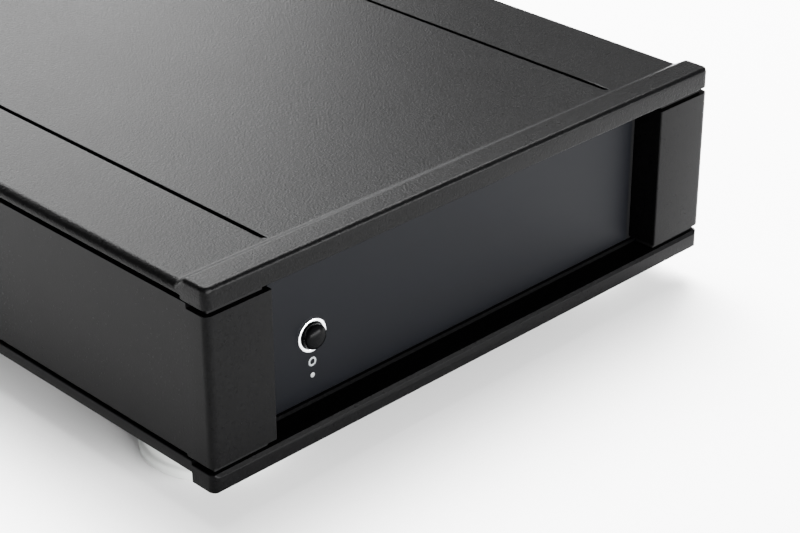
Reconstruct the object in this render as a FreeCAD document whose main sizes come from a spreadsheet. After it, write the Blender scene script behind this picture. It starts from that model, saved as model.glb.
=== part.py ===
"""Half-width phono preamplifier: a black case of three metal layers with a gloss front panel.

Lengths are in millimetres. +X is to the right seen from the front, +Y is to the back, +Z is up.
The origin is on the surface that the feet stand on, under the middle of the whole object.
Inside this file, y is counted from the front plane of the case and z from the underside of the sill;
place() moves both into the part's own frame.
"""
import FreeCAD, Part
import Sketcher
import math
import os
import re

# Driving sizes
SIZES = {
    # case
    "case_width": 216.0,
    "case_depth": 320.0,
    "sill_lift": 12.0,
    "sill_height": 6.05,
    "sill_depth": 9.7,
    "sill_bevel": 1.1,
    "base_drop": 3.3,
    "base_thick": 4.0,
    "shadow_gap": 1.6,
    "front_gap": 2.15,
    "gap_inset": 2.0,
    "pillar_width": 24.0,
    "pillar_height": 49.0,
    "wall_thick": 8.0,
    "corner_round": 2.6,
    "edge_bevel": 1.0,
    "edge_round": 0.6,
    # lid
    "top_gap": 1.7,
    "lip_drop": 1.1,
    "lip_margin": 0.3,
    "lid_thick": 3.8,
    "brow_rise": 2.2,
    "brow_flat": 9.2,
    "brow_ramp": 3.8,
    "brow_round": 1.6,
    "brow_back_round": 2.4,
    "groove_inset": 34.4,
    "groove_width": 1.5,
    "groove_depth": 1.4,
    "groove_start": 1.4,
    # front panel and its carrier
    "panel_depth": 8.0,
    "panel_thick": 3.0,
    "panel_side_gap": 4.4,
    "panel_edge_gap": 3.35,
    "panel_bevel": 0.5,
    "carrier_thick": 2.0,
    "carrier_foot": 12.0,
    "carrier_screw_reach": 45.0,
    "fit_gap": 0.3,
    # power button, its ring, mark and lamp
    "button_inset": 45.2,
    "button_level": 30.6,
    "button_radius": 4.0,
    "button_proud": 3.0,
    "button_dome": 2.0,
    "button_travel": 2.0,
    "ring_radius": 5.5,
    "ring_wall": 1.25,
    "ring_proud": 0.5,
    "ring_tail": 3.0,
    "slip": 0.05,
    "mark_drop": 8.9,
    "mark_radius": 1.5,
    "mark_line": 0.6,
    "mark_inlay": 0.3,
    "lamp_drop": 13.5,
    "lamp_radius": 0.8,
    "plunger_radius": 1.6,
    "switch_size": 12.0,
    "switch_length": 9.0,
    "led_radius": 1.5,
    "led_length": 4.0,
    # front board
    "board_thick": 1.6,
    "front_board_width": 52.0,
    "front_board_height": 36.0,
    "front_spacer": 12.0,
    "spacer_radius": 2.75,
    "board_margin": 5.0,
    "plug_height": 7.0,
    # screws
    "screw_radius": 1.5,
    "screw_head_radius": 2.8,
    "screw_head": 1.7,
    "screw_grip": 8.0,
    "tie_start": 90.0,
    "tie_end": 30.0,
    "tie_grip": 2.6,
    # feet
    "foot_radius": 21.5,
    "foot_top_radius": 17.5,
    "foot_rim": 2.6,
    "foot_waist": 3.9,
    "foot_side_inset": 28.5,
    "foot_end_inset": 36.5,
    "foot_socket_radius": 5.0,
    "foot_seat": 5.0,
    "foot_screw_radius": 2.0,
    "foot_screw_head": 2.6,
    "foot_screw_head_radius": 3.8,
    # rear panel
    "rear_thick": 2.5,
    "rear_inset": 1.0,
    "rear_edge_gap": 0.4,
    "rear_screw_rise": 11.0,
    # phono sockets
    "socket_pitch": 28.0,
    "socket_first": 24.0,
    "socket_low": 22.0,
    "socket_rise": 20.0,
    "socket_radius": 4.15,
    "socket_bore": 3.45,
    "socket_reach": 10.5,
    "socket_flange_radius": 6.2,
    "socket_flange": 1.8,
    "socket_washer": 1.0,
    "socket_washer_radius": 6.9,
    "socket_neck": 3.8,
    "socket_tail": 8.0,
    "socket_nut": 2.4,
    "socket_nut_radius": 6.2,
    "contact_radius": 2.1,
    "contact_bore": 1.65,
    "core_setback": 1.2,
    # earth post
    "post_shift": 14.0,
    "post_radius": 2.0,
    "post_reach": 10.3,
    "post_tail": 9.0,
    "post_collar_radius": 5.0,
    "post_collar": 1.6,
    "post_washer": 0.8,
    "post_washer_radius": 4.6,
    "knob_radius": 5.0,
    "knob_length": 4.8,
    "knob_clearance": 0.08,
    "knurl_count": 20.0,
    "knurl_depth": 0.45,
    "post_nut": 2.4,
    "post_nut_radius": 3.8,
    # setting switches
    "dip_left": 4.0,
    "dip_rise": 19.0,
    "dip_end": 0.8,
    "dip_height": 6.4,
    "dip_body": 5.0,
    "dip_setback": 0.8,
    "dip_pitch": 2.54,
    "dip_slot_width": 1.5,
    "dip_slot_depth": 2.2,
    "dip_lever": 1.2,
    "dip_travel": 1.8,
    "dip_lever_proud": 0.5,
    "dip_stop": 0.1,
    "setting_board_side": 4.0,
    "setting_board_height": 38.0,
    "setting_spacer_radius": 2.2,
    # input selector
    "selector_inset": 62.0,
    "selector_level": 32.0,
    "selector_width": 14.0,
    "selector_height": 7.0,
    "selector_length": 6.0,
    "selector_knob_width": 4.0,
    "selector_knob_height": 3.4,
    "selector_knob_proud": 2.6,
    "selector_travel": 4.0,
    "selector_root": 3.0,
    # mains inlet and fuse drawer
    "inlet_inset": 32.0,
    "inlet_low": 17.5,
    "inlet_width": 28.0,
    "inlet_height": 32.0,
    "inlet_length": 27.0,
    "inlet_flange": 2.2,
    "inlet_flange_width": 46.0,
    "inlet_flange_margin": 1.4,
    "inlet_mouth_width": 24.2,
    "inlet_mouth_height": 16.6,
    "inlet_mouth_depth": 17.0,
    "inlet_mouth_bevel": 4.0,
    "inlet_rim": 2.0,
    "inlet_screw_pitch": 39.0,
    "blade_width": 2.0,
    "blade_height": 4.0,
    "blade_pitch": 7.0,
    "blade_offset": 2.0,
    "blade_setback": 1.5,
    "blade_tail": 7.0,
    "drawer_width": 20.0,
    "drawer_height": 7.6,
    "drawer_length": 24.0,
    "drawer_lip": 1.2,
    "drawer_wall": 1.1,
    "drawer_clearance": 0.15,
    "fuse_radius": 2.5,
    "fuse_length": 20.0,
    "fuse_clearance": 0.1,
    # mains transformer
    "toroid_radius": 38.0,
    "toroid_bore": 12.0,
    "toroid_height": 30.0,
    "toroid_round": 6.0,
    "toroid_side_gap": 8.0,
    "toroid_front_gap": 26.0,
    "toroid_pad": 1.5,
    "toroid_dish": 2.0,
    "toroid_bolt_radius": 3.0,
    "toroid_bolt_spare": 2.0,
    "toroid_nut": 4.0,
    "toroid_nut_radius": 5.5,
    # main board
    "standoff": 8.0,
    "standoff_radius": 3.2,
    "main_board_gap": 8.0,
    "main_board_rear_gap": 14.0,
    "main_board_inlet_gap": 6.0,
    "main_board_side_gap": 4.0,
    "reservoir_radius": 9.0,
    "reservoir_height": 30.0,
    "reservoir_pitch": 22.0,
    "reservoir_side": 24.0,
    "reservoir_front": 20.0,
    "small_cap_radius": 4.0,
    "small_cap_height": 11.0,
    "small_cap_pitch": 12.0,
    "small_cap_side": 18.0,
    "small_cap_rear": 50.0,
    "small_cap_row": 14.0,
    "film_length": 13.0,
    "film_width": 6.0,
    "film_height": 11.0,
    "film_pitch": 11.0,
    "film_side": 14.0,
    "film_rear": 26.0,
    "relay_length": 15.0,
    "relay_width": 7.5,
    "relay_height": 10.0,
    "relay_pitch": 20.0,
    "relay_side": 18.0,
    "relay_rear": 10.0,
    "chip_length": 9.6,
    "chip_width": 6.4,
    "chip_height": 3.4,
    "chip_pitch": 20.0,
    "chip_side": 18.0,
    "chip_rear": 78.0,
    "transistor_width": 4.6,
    "transistor_depth": 3.8,
    "transistor_height": 8.0,
    "transistor_pitch": 10.0,
    "transistor_side": 14.0,
    "transistor_rear": 90.0,
    "heatsink_width": 26.0,
    "heatsink_height": 22.0,
    "heatsink_back": 3.0,
    "fin_count": 6.0,
    "fin_thick": 1.4,
    "fin_length": 9.0,
    "heatsink_pitch": 34.0,
    "heatsink_side": 40.0,
    "heatsink_front": 40.0,
    "regulator_width": 10.0,
    "regulator_height": 15.0,
    "regulator_thick": 4.4,
    "plug_width": 14.0,
    "plug_depth": 6.0,
    "plug_setback": 2.0,
    "lead_plug_side": 20.0,
    "lead_radius": 1.2,
    "lead_run": 8.0,
    "lead_bend": 9.0,
    "lead_pitch": 4.0,
    "signal_radius": 0.6,
    "signal_bend": 4.0,
    "signal_edge": 2.0,
    "signal_step": 3.0,
    "ribbon_width": 12.0,
    "ribbon_thick": 1.0,
    "ribbon_lift": 1.6,
    "ribbon_reach": 4.0,
}

# Levers in each bank of setting switches, flats in a quarter of the button's dome, and the share of the
# knob's rim that its grooves take up
LEVERS = 3
DOME_STEPS = 5
KNURL_SHARE = 0.6
# How near, in millimetres, an edge is to a line that it lies on
NEAR = 0.01

# Places worked out from the driving sizes
PLACES = {
    "dip_width": f"{LEVERS} * dip_pitch + 2 * dip_end",
    "setting_board_width": "dip_width + 2 * setting_board_side",
    "half_width": "case_width / 2",
    "front_y": "0 - (case_depth + socket_reach) / 2",
    "base_top": "base_drop + base_thick",
    "pillar_low": "sill_height + front_gap",
    "pillar_top": "pillar_low + pillar_height",
    "wall_low": "base_top + shadow_gap",
    "brow_low": "pillar_top + top_gap",
    "lid_low": "brow_low + lip_drop",
    "lid_top": "lid_low + lid_thick",
    "brow_top": "lid_top + brow_rise",
    "wall_top": "brow_low",
    "pillar_depth": "panel_depth + panel_thick",
    "lip_depth": "pillar_depth - lip_margin",
    "brow_back": "brow_flat + brow_ramp",
    "wall_end": "case_depth - rear_thick",
    "tie_x": "half_width - (gap_inset + wall_thick) / 2",
    "panel_half": "half_width - pillar_width - panel_side_gap",
    "panel_low": "sill_height + panel_edge_gap",
    "panel_high": "brow_low - panel_edge_gap",
    "carrier_front": "pillar_depth",
    "carrier_back": "carrier_front + carrier_thick",
    "button_x": "0 - (half_width - button_inset)",
    "mark_z": "button_level - mark_drop",
    "lamp_z": "button_level - lamp_drop",
    "board_front": "carrier_back + front_spacer",
    "board_back": "board_front + board_thick",
    "switch_front": "board_front - switch_length",
    "front_board_left": "button_x - front_board_width / 2",
    "front_board_low": "button_level - front_board_height / 2",
    "inlet_x": "half_width - inlet_inset",
    "toroid_x": "half_width - wall_thick - toroid_side_gap - toroid_radius",
    "toroid_y": "carrier_back + toroid_front_gap + toroid_radius",
    "toroid_low": "base_top + toroid_pad",
    "toroid_top": "toroid_low + toroid_height",
    "main_left": "0 - (half_width - wall_thick - main_board_side_gap)",
    "main_right": "inlet_x - inlet_width / 2 - main_board_inlet_gap",
    "main_front": "toroid_y + toroid_radius + main_board_gap",
    "main_rear": "wall_end - main_board_rear_gap",
    "main_low": "base_top + standoff",
    "main_top": "main_low + board_thick",
    "post_x": "socket_x0 + socket_pitch + post_shift",
    "socket_x0": "0 - (half_width - socket_first)",
    "socket_x2": "post_x + post_shift",
    "dip_x": "socket_x2 + socket_washer_radius + dip_left + setting_board_width / 2",
    "dip_front": "case_depth - dip_setback",
    "setting_front": "dip_front - dip_body",
    "selector_x": "half_width - selector_inset",
    "mouth_low": "inlet_low + inlet_height - inlet_rim - inlet_mouth_height",
    "mouth_mid": "mouth_low + inlet_mouth_height / 2",
    "inlet_face": "case_depth + inlet_flange",
    "drawer_low": "inlet_low + inlet_rim",
}

NAME = re.compile(r"[a-z_][a-z_0-9]*")
doc = FreeCAD.newDocument("phono_preamplifier")
sheet = doc.addObject("Spreadsheet::Sheet", "dims")
for row, (alias, number) in enumerate(SIZES.items(), start=1):
    sheet.set(f"A{row}", str(number))
    sheet.setAlias(f"A{row}", alias)
doc.recompute()

subparts = []
shared = {"board_spacers": [], "inner_screws": [], "rear_screws": [], "rear_nuts": []}


def bound(text):
    """Turns an expression on plain names into one on the sheet's cells."""

    def cell(match):
        word = match.group(0)
        if word in PLACES:
            return "(" + bound(PLACES[word]) + ")"
        if word in SIZES:
            return "dims." + word
        return word

    return NAME.sub(cell, str(text))


def size(text):
    """The present value of an expression on plain names."""
    return float(sheet.evalExpression(bound(text)))


def place(item, x, y, z):
    """Binds an object's corner or centre, given in the case's own coordinates."""
    item.setExpression("Placement.Base.x", bound(x))
    item.setExpression("Placement.Base.y", bound(f"front_y + ({y})"))
    item.setExpression("Placement.Base.z", bound(f"sill_lift + ({z})"))
    return item


def keep(item, name):
    """Lists an object as a sub-part and names it."""
    item.Label = name
    subparts.append(item)
    return item


TURNS = {
    "x": FreeCAD.Rotation(FreeCAD.Vector(0, 1, 0), 90),
    "y": FreeCAD.Rotation(FreeCAD.Vector(1, 0, 0), -90),
    "z": FreeCAD.Rotation(),
}


def block(x, y, z, length, width, height):
    """A box from its lowest corner."""
    item = doc.addObject("Part::Box", "block")
    item.setExpression("Length", bound(length))
    item.setExpression("Width", bound(width))
    item.setExpression("Height", bound(height))
    return place(item, x, y, z)


def middle_block(x, y, z, length, width, height):
    """A box centred on x and y that stands on z."""
    return block(f"{x} - ({length}) / 2", f"{y} - ({width}) / 2", z, length, width, height)


def rod(x, y, z, radius, length, axis="z"):
    """A cylinder from the centre of its first end, along +X, +Y or +Z."""
    item = doc.addObject("Part::Cylinder", "rod")
    item.Placement = FreeCAD.Placement(FreeCAD.Vector(), TURNS[axis])
    item.setExpression("Radius", bound(radius))
    item.setExpression("Height", bound(length))
    return place(item, x, y, z)


def hex_rod(x, y, z, radius, length, axis="z"):
    """A six-sided bar whose corners lie on the radius."""
    item = doc.addObject("Part::Prism", "hexagon")
    item.Polygon = 6
    item.Placement = FreeCAD.Placement(FreeCAD.Vector(), TURNS[axis])
    item.setExpression("Circumradius", bound(radius))
    item.setExpression("Height", bound(length))
    return place(item, x, y, z)


def fuse(items):
    """One solid from several that meet or overlap."""
    item = doc.addObject("Part::MultiFuse", "joined")
    item.Shapes = items
    item.Refine = True
    return item


def cut(base, tools):
    """The base without the tools."""
    item = doc.addObject("Part::Cut", "cut")
    item.Base = base
    item.Tool = tools[0] if len(tools) == 1 else fuse(tools)
    return item


def group(items):
    """Like pieces in one node, each a solid of its own."""
    item = doc.addObject("Part::Compound", "set")
    item.Links = items
    return item


def tube(x, y, z, outer, inner, length, axis="z"):
    """A plain sleeve."""
    return cut(rod(x, y, z, outer, length, axis), [rod(x, y, z, inner, length, axis)])


def screw(x, y, z, shaft, head, head_radius, grip, axis="z", flip=False):
    """A cheese-head screw whose head's seat is at the point; flip points the shaft the other way."""
    along = {"x": 0, "y": 1, "z": 2}[axis]
    seat = [x, y, z]
    start_head = list(seat)
    start_shaft = list(seat)
    if flip:
        start_shaft[along] = f"{seat[along]} - ({grip})"
    else:
        start_head[along] = f"{seat[along]} - ({head})"
    return fuse([rod(*start_head, head_radius, head, axis), rod(*start_shaft, shaft, grip, axis)])


def new_body(name):
    """A body whose own coordinates are the case's."""
    item = doc.addObject("PartDesign::Body", name)
    place(item, "0", "0", "0")
    return keep(item, name)


def plane_of(body, role):
    return next(item for item in body.Origin.OriginFeatures if item.Role == role)


def new_sketch(body, role, offset):
    """A sketch on one of the body's origin planes, moved along its normal."""
    sketch = body.newObject("Sketcher::SketchObject", "outline")
    sketch.AttachmentSupport = (plane_of(body, role), [""])
    sketch.MapMode = "FlatFace"
    sketch.setExpression("AttachmentOffset.Base.z", bound(offset))
    return sketch


def pin_point(sketch, index, end, point):
    """Fixes one point of a sketch at a pair of bound coordinates."""
    for kind, text in zip(("DistanceX", "DistanceY"), point):
        number = sketch.addConstraint(Sketcher.Constraint(kind, -1, 1, index, end, size(text)))
        sketch.setExpression(f"Constraints[{number}]", bound(text))


def outline(body, role, points, offset="0"):
    """A closed outline of straight lines through bound points."""
    sketch = new_sketch(body, role, offset)
    spots = [FreeCAD.Vector(size(x), size(y), 0) for x, y in points]
    count = len(points)
    for index in range(count):
        sketch.addGeometry(Part.LineSegment(spots[index], spots[(index + 1) % count]), False)
    for index in range(count):
        following = (index + 1) % count
        sketch.addConstraint(Sketcher.Constraint("Coincident", index, 2, following, 1))
    for index, point in enumerate(points):
        pin_point(sketch, index, 1, point)
    return sketch


def rectangles(body, role, corners, offset="0"):
    """Several rectangles, each from its low and high corner."""
    sketch = new_sketch(body, role, offset)
    for low_x, low_y, high_x, high_y in corners:
        points = [(low_x, low_y), (high_x, low_y), (high_x, high_y), (low_x, high_y)]
        spots = [FreeCAD.Vector(size(x), size(y), 0) for x, y in points]
        first = sketch.GeometryCount
        for index in range(4):
            sketch.addGeometry(Part.LineSegment(spots[index], spots[(index + 1) % 4]), False)
        for index in range(4):
            following = first + (index + 1) % 4
            sketch.addConstraint(Sketcher.Constraint("Coincident", first + index, 2, following, 1))
        for index, point in enumerate(points):
            pin_point(sketch, first + index, 1, point)
    return sketch


def circles(body, role, rings, offset="0"):
    """Several circles, each from its centre and radius."""
    sketch = new_sketch(body, role, offset)
    for x, y, radius in rings:
        centre = FreeCAD.Vector(size(x), size(y), 0)
        circle = Part.Circle(centre, FreeCAD.Vector(0, 0, 1), size(radius))
        index = sketch.addGeometry(circle, False)
        number = sketch.addConstraint(Sketcher.Constraint("Radius", index, size(radius)))
        sketch.setExpression(f"Constraints[{number}]", bound(radius))
        pin_point(sketch, index, 3, (x, y))
    return sketch


def pad(body, sketch, length, backwards=False, both=False):
    feature = body.newObject("PartDesign::Pad", "pad")
    feature.Profile = sketch
    feature.setExpression("Length", bound(length))
    feature.Reversed = backwards
    feature.Midplane = both
    doc.recompute()
    return feature


def pocket(body, sketch, length=None, along_normal=False):
    """Cuts a sketch into the body, through it or to a depth, and tells if nothing was cut."""
    before = body.Shape.Volume
    feature = body.newObject("PartDesign::Pocket", "pocket")
    feature.Profile = sketch
    if length is None:
        feature.Type = "ThroughAll"
        feature.Midplane = True
    else:
        feature.setExpression("Length", bound(length))
        feature.Reversed = along_normal
    doc.recompute()
    if body.Shape.Volume >= before:
        raise RuntimeError(f"{body.Label}: a pocket cuts nothing")
    return feature


def revolve(body, points, axis_role):
    """A turned piece from a half section on the XZ plane (about Z) or the YZ plane (about Y)."""
    role = "XZ_Plane" if axis_role == "Z_Axis" else "YZ_Plane"
    sketch = outline(body, role, points)
    feature = body.newObject("PartDesign::Revolution", "turned")
    feature.Profile = sketch
    feature.ReferenceAxis = (plane_of(body, axis_role), [""])
    feature.Angle = 360
    doc.recompute()
    return feature


def edges_where(body, test):
    """Names of the edges of the body's last feature whose box passes a test."""
    found = []
    for number, edge in enumerate(body.Tip.Shape.Edges, start=1):
        if test(edge):
            found.append(f"Edge{number}")
    return found


def on_line(x=None, y=None, z=None):
    """A test for edges that lie at the given coordinates."""

    def test(edge):
        frame = edge.BoundBox
        spans = ((x, frame.XMin, frame.XMax), (y, frame.YMin, frame.YMax), (z, frame.ZMin, frame.ZMax))
        return all(at is None or max(abs(low - at), abs(high - at)) < NEAR for at, low, high in spans)

    return test


def ease(body, kind, test, amount):
    """Rounds or bevels the edges that pass a test."""
    names = edges_where(body, test)
    if not names:
        raise RuntimeError(f"{body.Label}: no edge to ease")
    base = body.Tip
    feature = body.newObject("PartDesign::" + kind, kind.lower())
    feature.Base = (base, names)
    feature.setExpression("Radius" if kind == "Fillet" else "Size", bound(amount))
    doc.recompute()
    return feature


# Shared positions
TIE_YS = ["tie_start", "(tie_start + case_depth - tie_end) / 2", "case_depth - tie_end"]
FOOT_XS = {"left": "0 - (half_width - foot_side_inset)", "right": "half_width - foot_side_inset"}
FOOT_YS = {"front": "foot_end_inset", "rear": "case_depth - foot_end_inset"}
SOCKET_XS = ["socket_x0", "socket_x0 + socket_pitch", "socket_x2"]
SOCKET_ZS = {"lower": "socket_low", "upper": "socket_low + socket_rise"}
DIP_ZS = ["selector_level - dip_rise / 2", "selector_level + dip_rise / 2"]
CARRIER_SCREW_XS = ["0 - carrier_screw_reach", "0", "carrier_screw_reach"]
STANDOFF_XS = ["main_left + board_margin", "(main_left + main_right) / 2", "main_right - board_margin"]
STANDOFF_YS = ["main_front + board_margin", "main_rear - board_margin"]


def every(xs, ys):
    return [(x, y) for x in xs for y in ys]


TIE_SPOTS = every(["0 - tie_x", "tie_x"], TIE_YS)
FOOT_SPOTS = every(FOOT_XS.values(), FOOT_YS.values())
STANDOFF_SPOTS = every(STANDOFF_XS, STANDOFF_YS)
REAR_SCREW_SPOTS = every(
    ["0 - (half_width - wall_thick / 2)", "half_width - wall_thick / 2"],
    ["base_top + rear_screw_rise", "lid_low - rear_screw_rise"],
)
INLET_SCREW_SPOTS = [(f"inlet_x {sign} inlet_screw_pitch / 2", "mouth_mid") for sign in "-+"]


def make_base_plate():
    """The bottom layer: a plate that ends in a lower, bevelled sill under the front."""
    body = new_body("base_plate")
    section = [
        ("0", "0"),
        ("sill_depth", "0"),
        ("sill_depth", "base_drop"),
        ("case_depth", "base_drop"),
        ("case_depth", "base_top"),
        ("sill_depth", "base_top"),
        ("sill_depth", "sill_height"),
        ("0", "sill_height"),
    ]
    pad(body, outline(body, "YZ_Plane", section), "case_width", both=True)
    half = size("half_width")

    def front_corner(edge):
        frame = edge.BoundBox
        upright = frame.XLength < NEAR and frame.YLength < NEAR
        return upright and abs(frame.YMin) < NEAR and abs(abs(frame.XMin) - half) < NEAR

    ease(body, "Fillet", front_corner, "corner_round")
    ease(body, "Chamfer", on_line(y=0, z=size("sill_height")), "sill_bevel")
    ease(body, "Fillet", on_line(y=0, z=0), "edge_round")
    holes = [(x, y, "screw_radius + slip") for x, y in TIE_SPOTS]
    holes += [(x, y, "foot_screw_radius + slip") for x, y in FOOT_SPOTS]
    holes += [(x, y, "screw_radius + slip") for x, y in STANDOFF_SPOTS]
    holes += [(x, "carrier_back + carrier_foot / 2", "screw_radius + slip") for x in CARRIER_SCREW_XS]
    holes.append(("toroid_x", "toroid_y", "toroid_bolt_radius + slip"))
    pocket(body, circles(body, "XY_Plane", holes))
    sunk = [(x, y, "screw_head_radius + slip") for x, y in TIE_SPOTS]
    pocket(body, circles(body, "XY_Plane", sunk, "base_drop"), "screw_head", along_normal=True)


def make_side(name, side):
    """A side wall that turns round the front corner as a wide pillar."""
    body = new_body(name)

    def across(text):
        return f"{side} * ({text})"

    def slab(x_outer, x_inner, y_low, y_high, z_low, z_high):
        xs = [across(x_outer), across(x_inner)]
        points = [(xs[0], y_low), (xs[1], y_low), (xs[1], y_high), (xs[0], y_high)]
        pad(body, outline(body, "XY_Plane", points, z_low), f"{z_high} - ({z_low})")

    slab("half_width", "half_width - pillar_width", "0", "pillar_depth", "pillar_low", "pillar_top")
    outer = side * size("half_width")
    inner = side * size("half_width - pillar_width")
    ease(body, "Fillet", on_line(x=outer, y=0), "corner_round")
    ease(body, "Chamfer", on_line(x=inner, y=0), "edge_bevel")
    ease(body, "Chamfer", on_line(y=0, z=size("pillar_top")), "edge_round")
    wall = ["half_width", "half_width - wall_thick"]
    slab(*wall, "pillar_depth - corner_round", "wall_end", "wall_low", "wall_top")
    inset = "half_width - gap_inset"
    tongue_inner = "half_width - pillar_width + gap_inset"
    slab(inset, tongue_inner, "gap_inset", "sill_depth - slip", "sill_height", "brow_low")
    slab(inset, wall[1], "pillar_depth + slip", "wall_end", "base_top", "lid_low")
    bores = [(across("tie_x"), y, "screw_radius + slip") for y in TIE_YS]
    pocket(body, circles(body, "XY_Plane", bores))
    middle = across("half_width - wall_thick / 2")
    ends = [(middle, z, "screw_radius + slip") for _, z in REAR_SCREW_SPOTS[:2]]
    pocket(body, circles(body, "XZ_Plane", ends, "0 - wall_end"), "screw_grip", along_normal=True)


def make_top_cover():
    """The lid: a flat plate with two long grooves, and a raised brow along the front."""
    body = new_body("top_cover")
    section = [
        ("0", "brow_low"),
        ("lip_depth", "brow_low"),
        ("lip_depth", "lid_low"),
        ("case_depth", "lid_low"),
        ("case_depth", "lid_top"),
        ("brow_back", "lid_top"),
        ("brow_flat", "brow_top"),
        ("0", "brow_top"),
    ]
    pad(body, outline(body, "YZ_Plane", section), "case_width", both=True)
    half = size("half_width")

    def front_corner(edge):
        frame = edge.BoundBox
        upright = frame.XLength < NEAR and frame.YLength < NEAR
        return upright and abs(frame.YMin) < NEAR and abs(abs(frame.XMin) - half) < NEAR

    ease(body, "Fillet", front_corner, "corner_round")
    ease(body, "Fillet", on_line(y=size("brow_flat"), z=size("brow_top")), "brow_back_round")

    def upper_edge(edge):
        frame = edge.BoundBox
        at_side = frame.XLength < NEAR and abs(abs(frame.XMin) - half) < NEAR
        above = frame.ZMin > size("lid_top") - NEAR and frame.YMin < size("case_depth") - NEAR
        at_front = on_line(y=0, z=size("brow_top"))(edge)
        corner = frame.YMax < size("corner_round") + NEAR and frame.ZMin > size("brow_top") - NEAR
        return (at_side and above and frame.YLength > NEAR) or at_front or corner

    ease(body, "Fillet", upper_edge, "brow_round")
    ease(body, "Fillet", on_line(y=0, z=size("brow_low")), "edge_round")
    grooves = []
    for side in ("0 - ", ""):
        middle = f"{side}(half_width - groove_inset)"
        low = f"{middle} - groove_width / 2"
        high = f"{middle} + groove_width / 2"
        grooves.append((low, "brow_back + groove_start", high, "case_depth + groove_start"))
    pocket(body, rectangles(body, "XY_Plane", grooves, "lid_top"), "groove_depth")
    threads = [(x, y, "screw_radius + slip") for x, y in TIE_SPOTS]
    pocket(body, circles(body, "XY_Plane", threads, "lid_low"), "tie_grip", along_normal=True)


def make_rear_panel():
    """The back plate, with every hole that a socket or switch passes through."""
    body = new_body("rear_panel")
    half = "half_width - rear_inset"
    frame = [(f"0 - ({half})", "base_top + rear_edge_gap", half, "lid_low - rear_edge_gap")]
    pad(body, rectangles(body, "XZ_Plane", frame, "0 - case_depth"), "rear_thick")
    rings = [(x, z, "socket_neck + slip") for x, z in every(SOCKET_XS, SOCKET_ZS.values())]
    rings += [(x, z, "screw_radius + slip") for x, z in REAR_SCREW_SPOTS + INLET_SCREW_SPOTS]
    rings.append(("post_x", "selector_level", "post_radius + slip"))
    rings += [(x, z, "screw_radius + slip") for x, z in setting_screw_spots()]
    pocket(body, circles(body, "XZ_Plane", rings))
    windows = []
    for z in DIP_ZS:
        reach_x = "(dip_width / 2 + fit_gap)"
        reach_z = "(dip_height / 2 + fit_gap)"
        windows.append((f"dip_x - {reach_x}", f"{z} - {reach_z}", f"dip_x + {reach_x}", f"{z} + {reach_z}"))
    slot_x = "((selector_travel + selector_knob_width) / 2 + fit_gap)"
    slot_z = "(selector_knob_height / 2 + fit_gap)"
    windows.append(
        (
            f"selector_x - {slot_x}",
            f"selector_level - {slot_z}",
            f"selector_x + {slot_x}",
            f"selector_level + {slot_z}",
        )
    )
    windows.append(
        (
            "inlet_x - inlet_width / 2 - slip",
            "inlet_low - slip",
            "inlet_x + inlet_width / 2 + slip",
            "inlet_low + inlet_height + slip",
        )
    )
    pocket(body, rectangles(body, "XZ_Plane", windows))


def setting_screw_spots():
    """The two screws that hold the setting switches' board, above and below the switches."""
    reach = "(setting_board_height / 2 - setting_spacer_radius)"
    return [("dip_x", f"selector_level - {reach}"), ("dip_x", f"selector_level + {reach}")]


def make_front_panel():
    """The gloss plate in the recess, with the button's hole, the lamp's hole and the mark's recess."""
    body = new_body("front_panel")
    frame = [("0 - panel_half", "panel_low", "panel_half", "panel_high")]
    pad(body, rectangles(body, "XZ_Plane", frame, "0 - panel_depth"), "panel_thick", backwards=True)
    ease(body, "Chamfer", on_line(y=size("panel_depth")), "panel_bevel")
    rings = [
        ("button_x", "button_level", "ring_radius + slip"),
        ("button_x", "lamp_z", "lamp_radius + slip"),
    ]
    pocket(body, circles(body, "XZ_Plane", rings))
    inlay = [("button_x", "mark_z", "mark_radius"), ("button_x", "mark_z", "mark_radius - mark_line")]
    pocket(body, circles(body, "XZ_Plane", inlay, "0 - panel_depth"), "mark_inlay")


def make_panel_carrier():
    """The black angle that closes the recess behind the front panel and stands on the base plate."""
    body = new_body("panel_carrier")
    section = [
        ("carrier_front", "base_top"),
        ("carrier_back + carrier_foot", "base_top"),
        ("carrier_back + carrier_foot", "base_top + carrier_thick"),
        ("carrier_back", "base_top + carrier_thick"),
        ("carrier_back", "lid_low - fit_gap"),
        ("carrier_front", "lid_low - fit_gap"),
    ]
    width = "2 * (half_width - wall_thick - fit_gap)"
    pad(body, outline(body, "YZ_Plane", section), width, both=True)
    rings = [
        ("button_x", "button_level", "ring_radius - ring_wall / 2 + slip"),
        ("button_x", "lamp_z", "lamp_radius + slip"),
    ]
    rings += [(x, z, "screw_radius + slip") for x, z in front_board_spots()]
    pocket(body, circles(body, "XZ_Plane", rings))
    feet = [(x, "carrier_back + carrier_foot / 2", "screw_radius + slip") for x in CARRIER_SCREW_XS]
    pocket(body, circles(body, "XY_Plane", feet))


def front_board_spots():
    """The four corners where spacers hold the front board."""
    reach_x = "(front_board_width / 2 - board_margin)"
    reach_z = "(front_board_height / 2 - board_margin)"
    return [
        (f"button_x {sign_x} {reach_x}", f"button_level {sign_z} {reach_z}")
        for sign_x in "-+"
        for sign_z in "-+"
    ]


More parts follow.
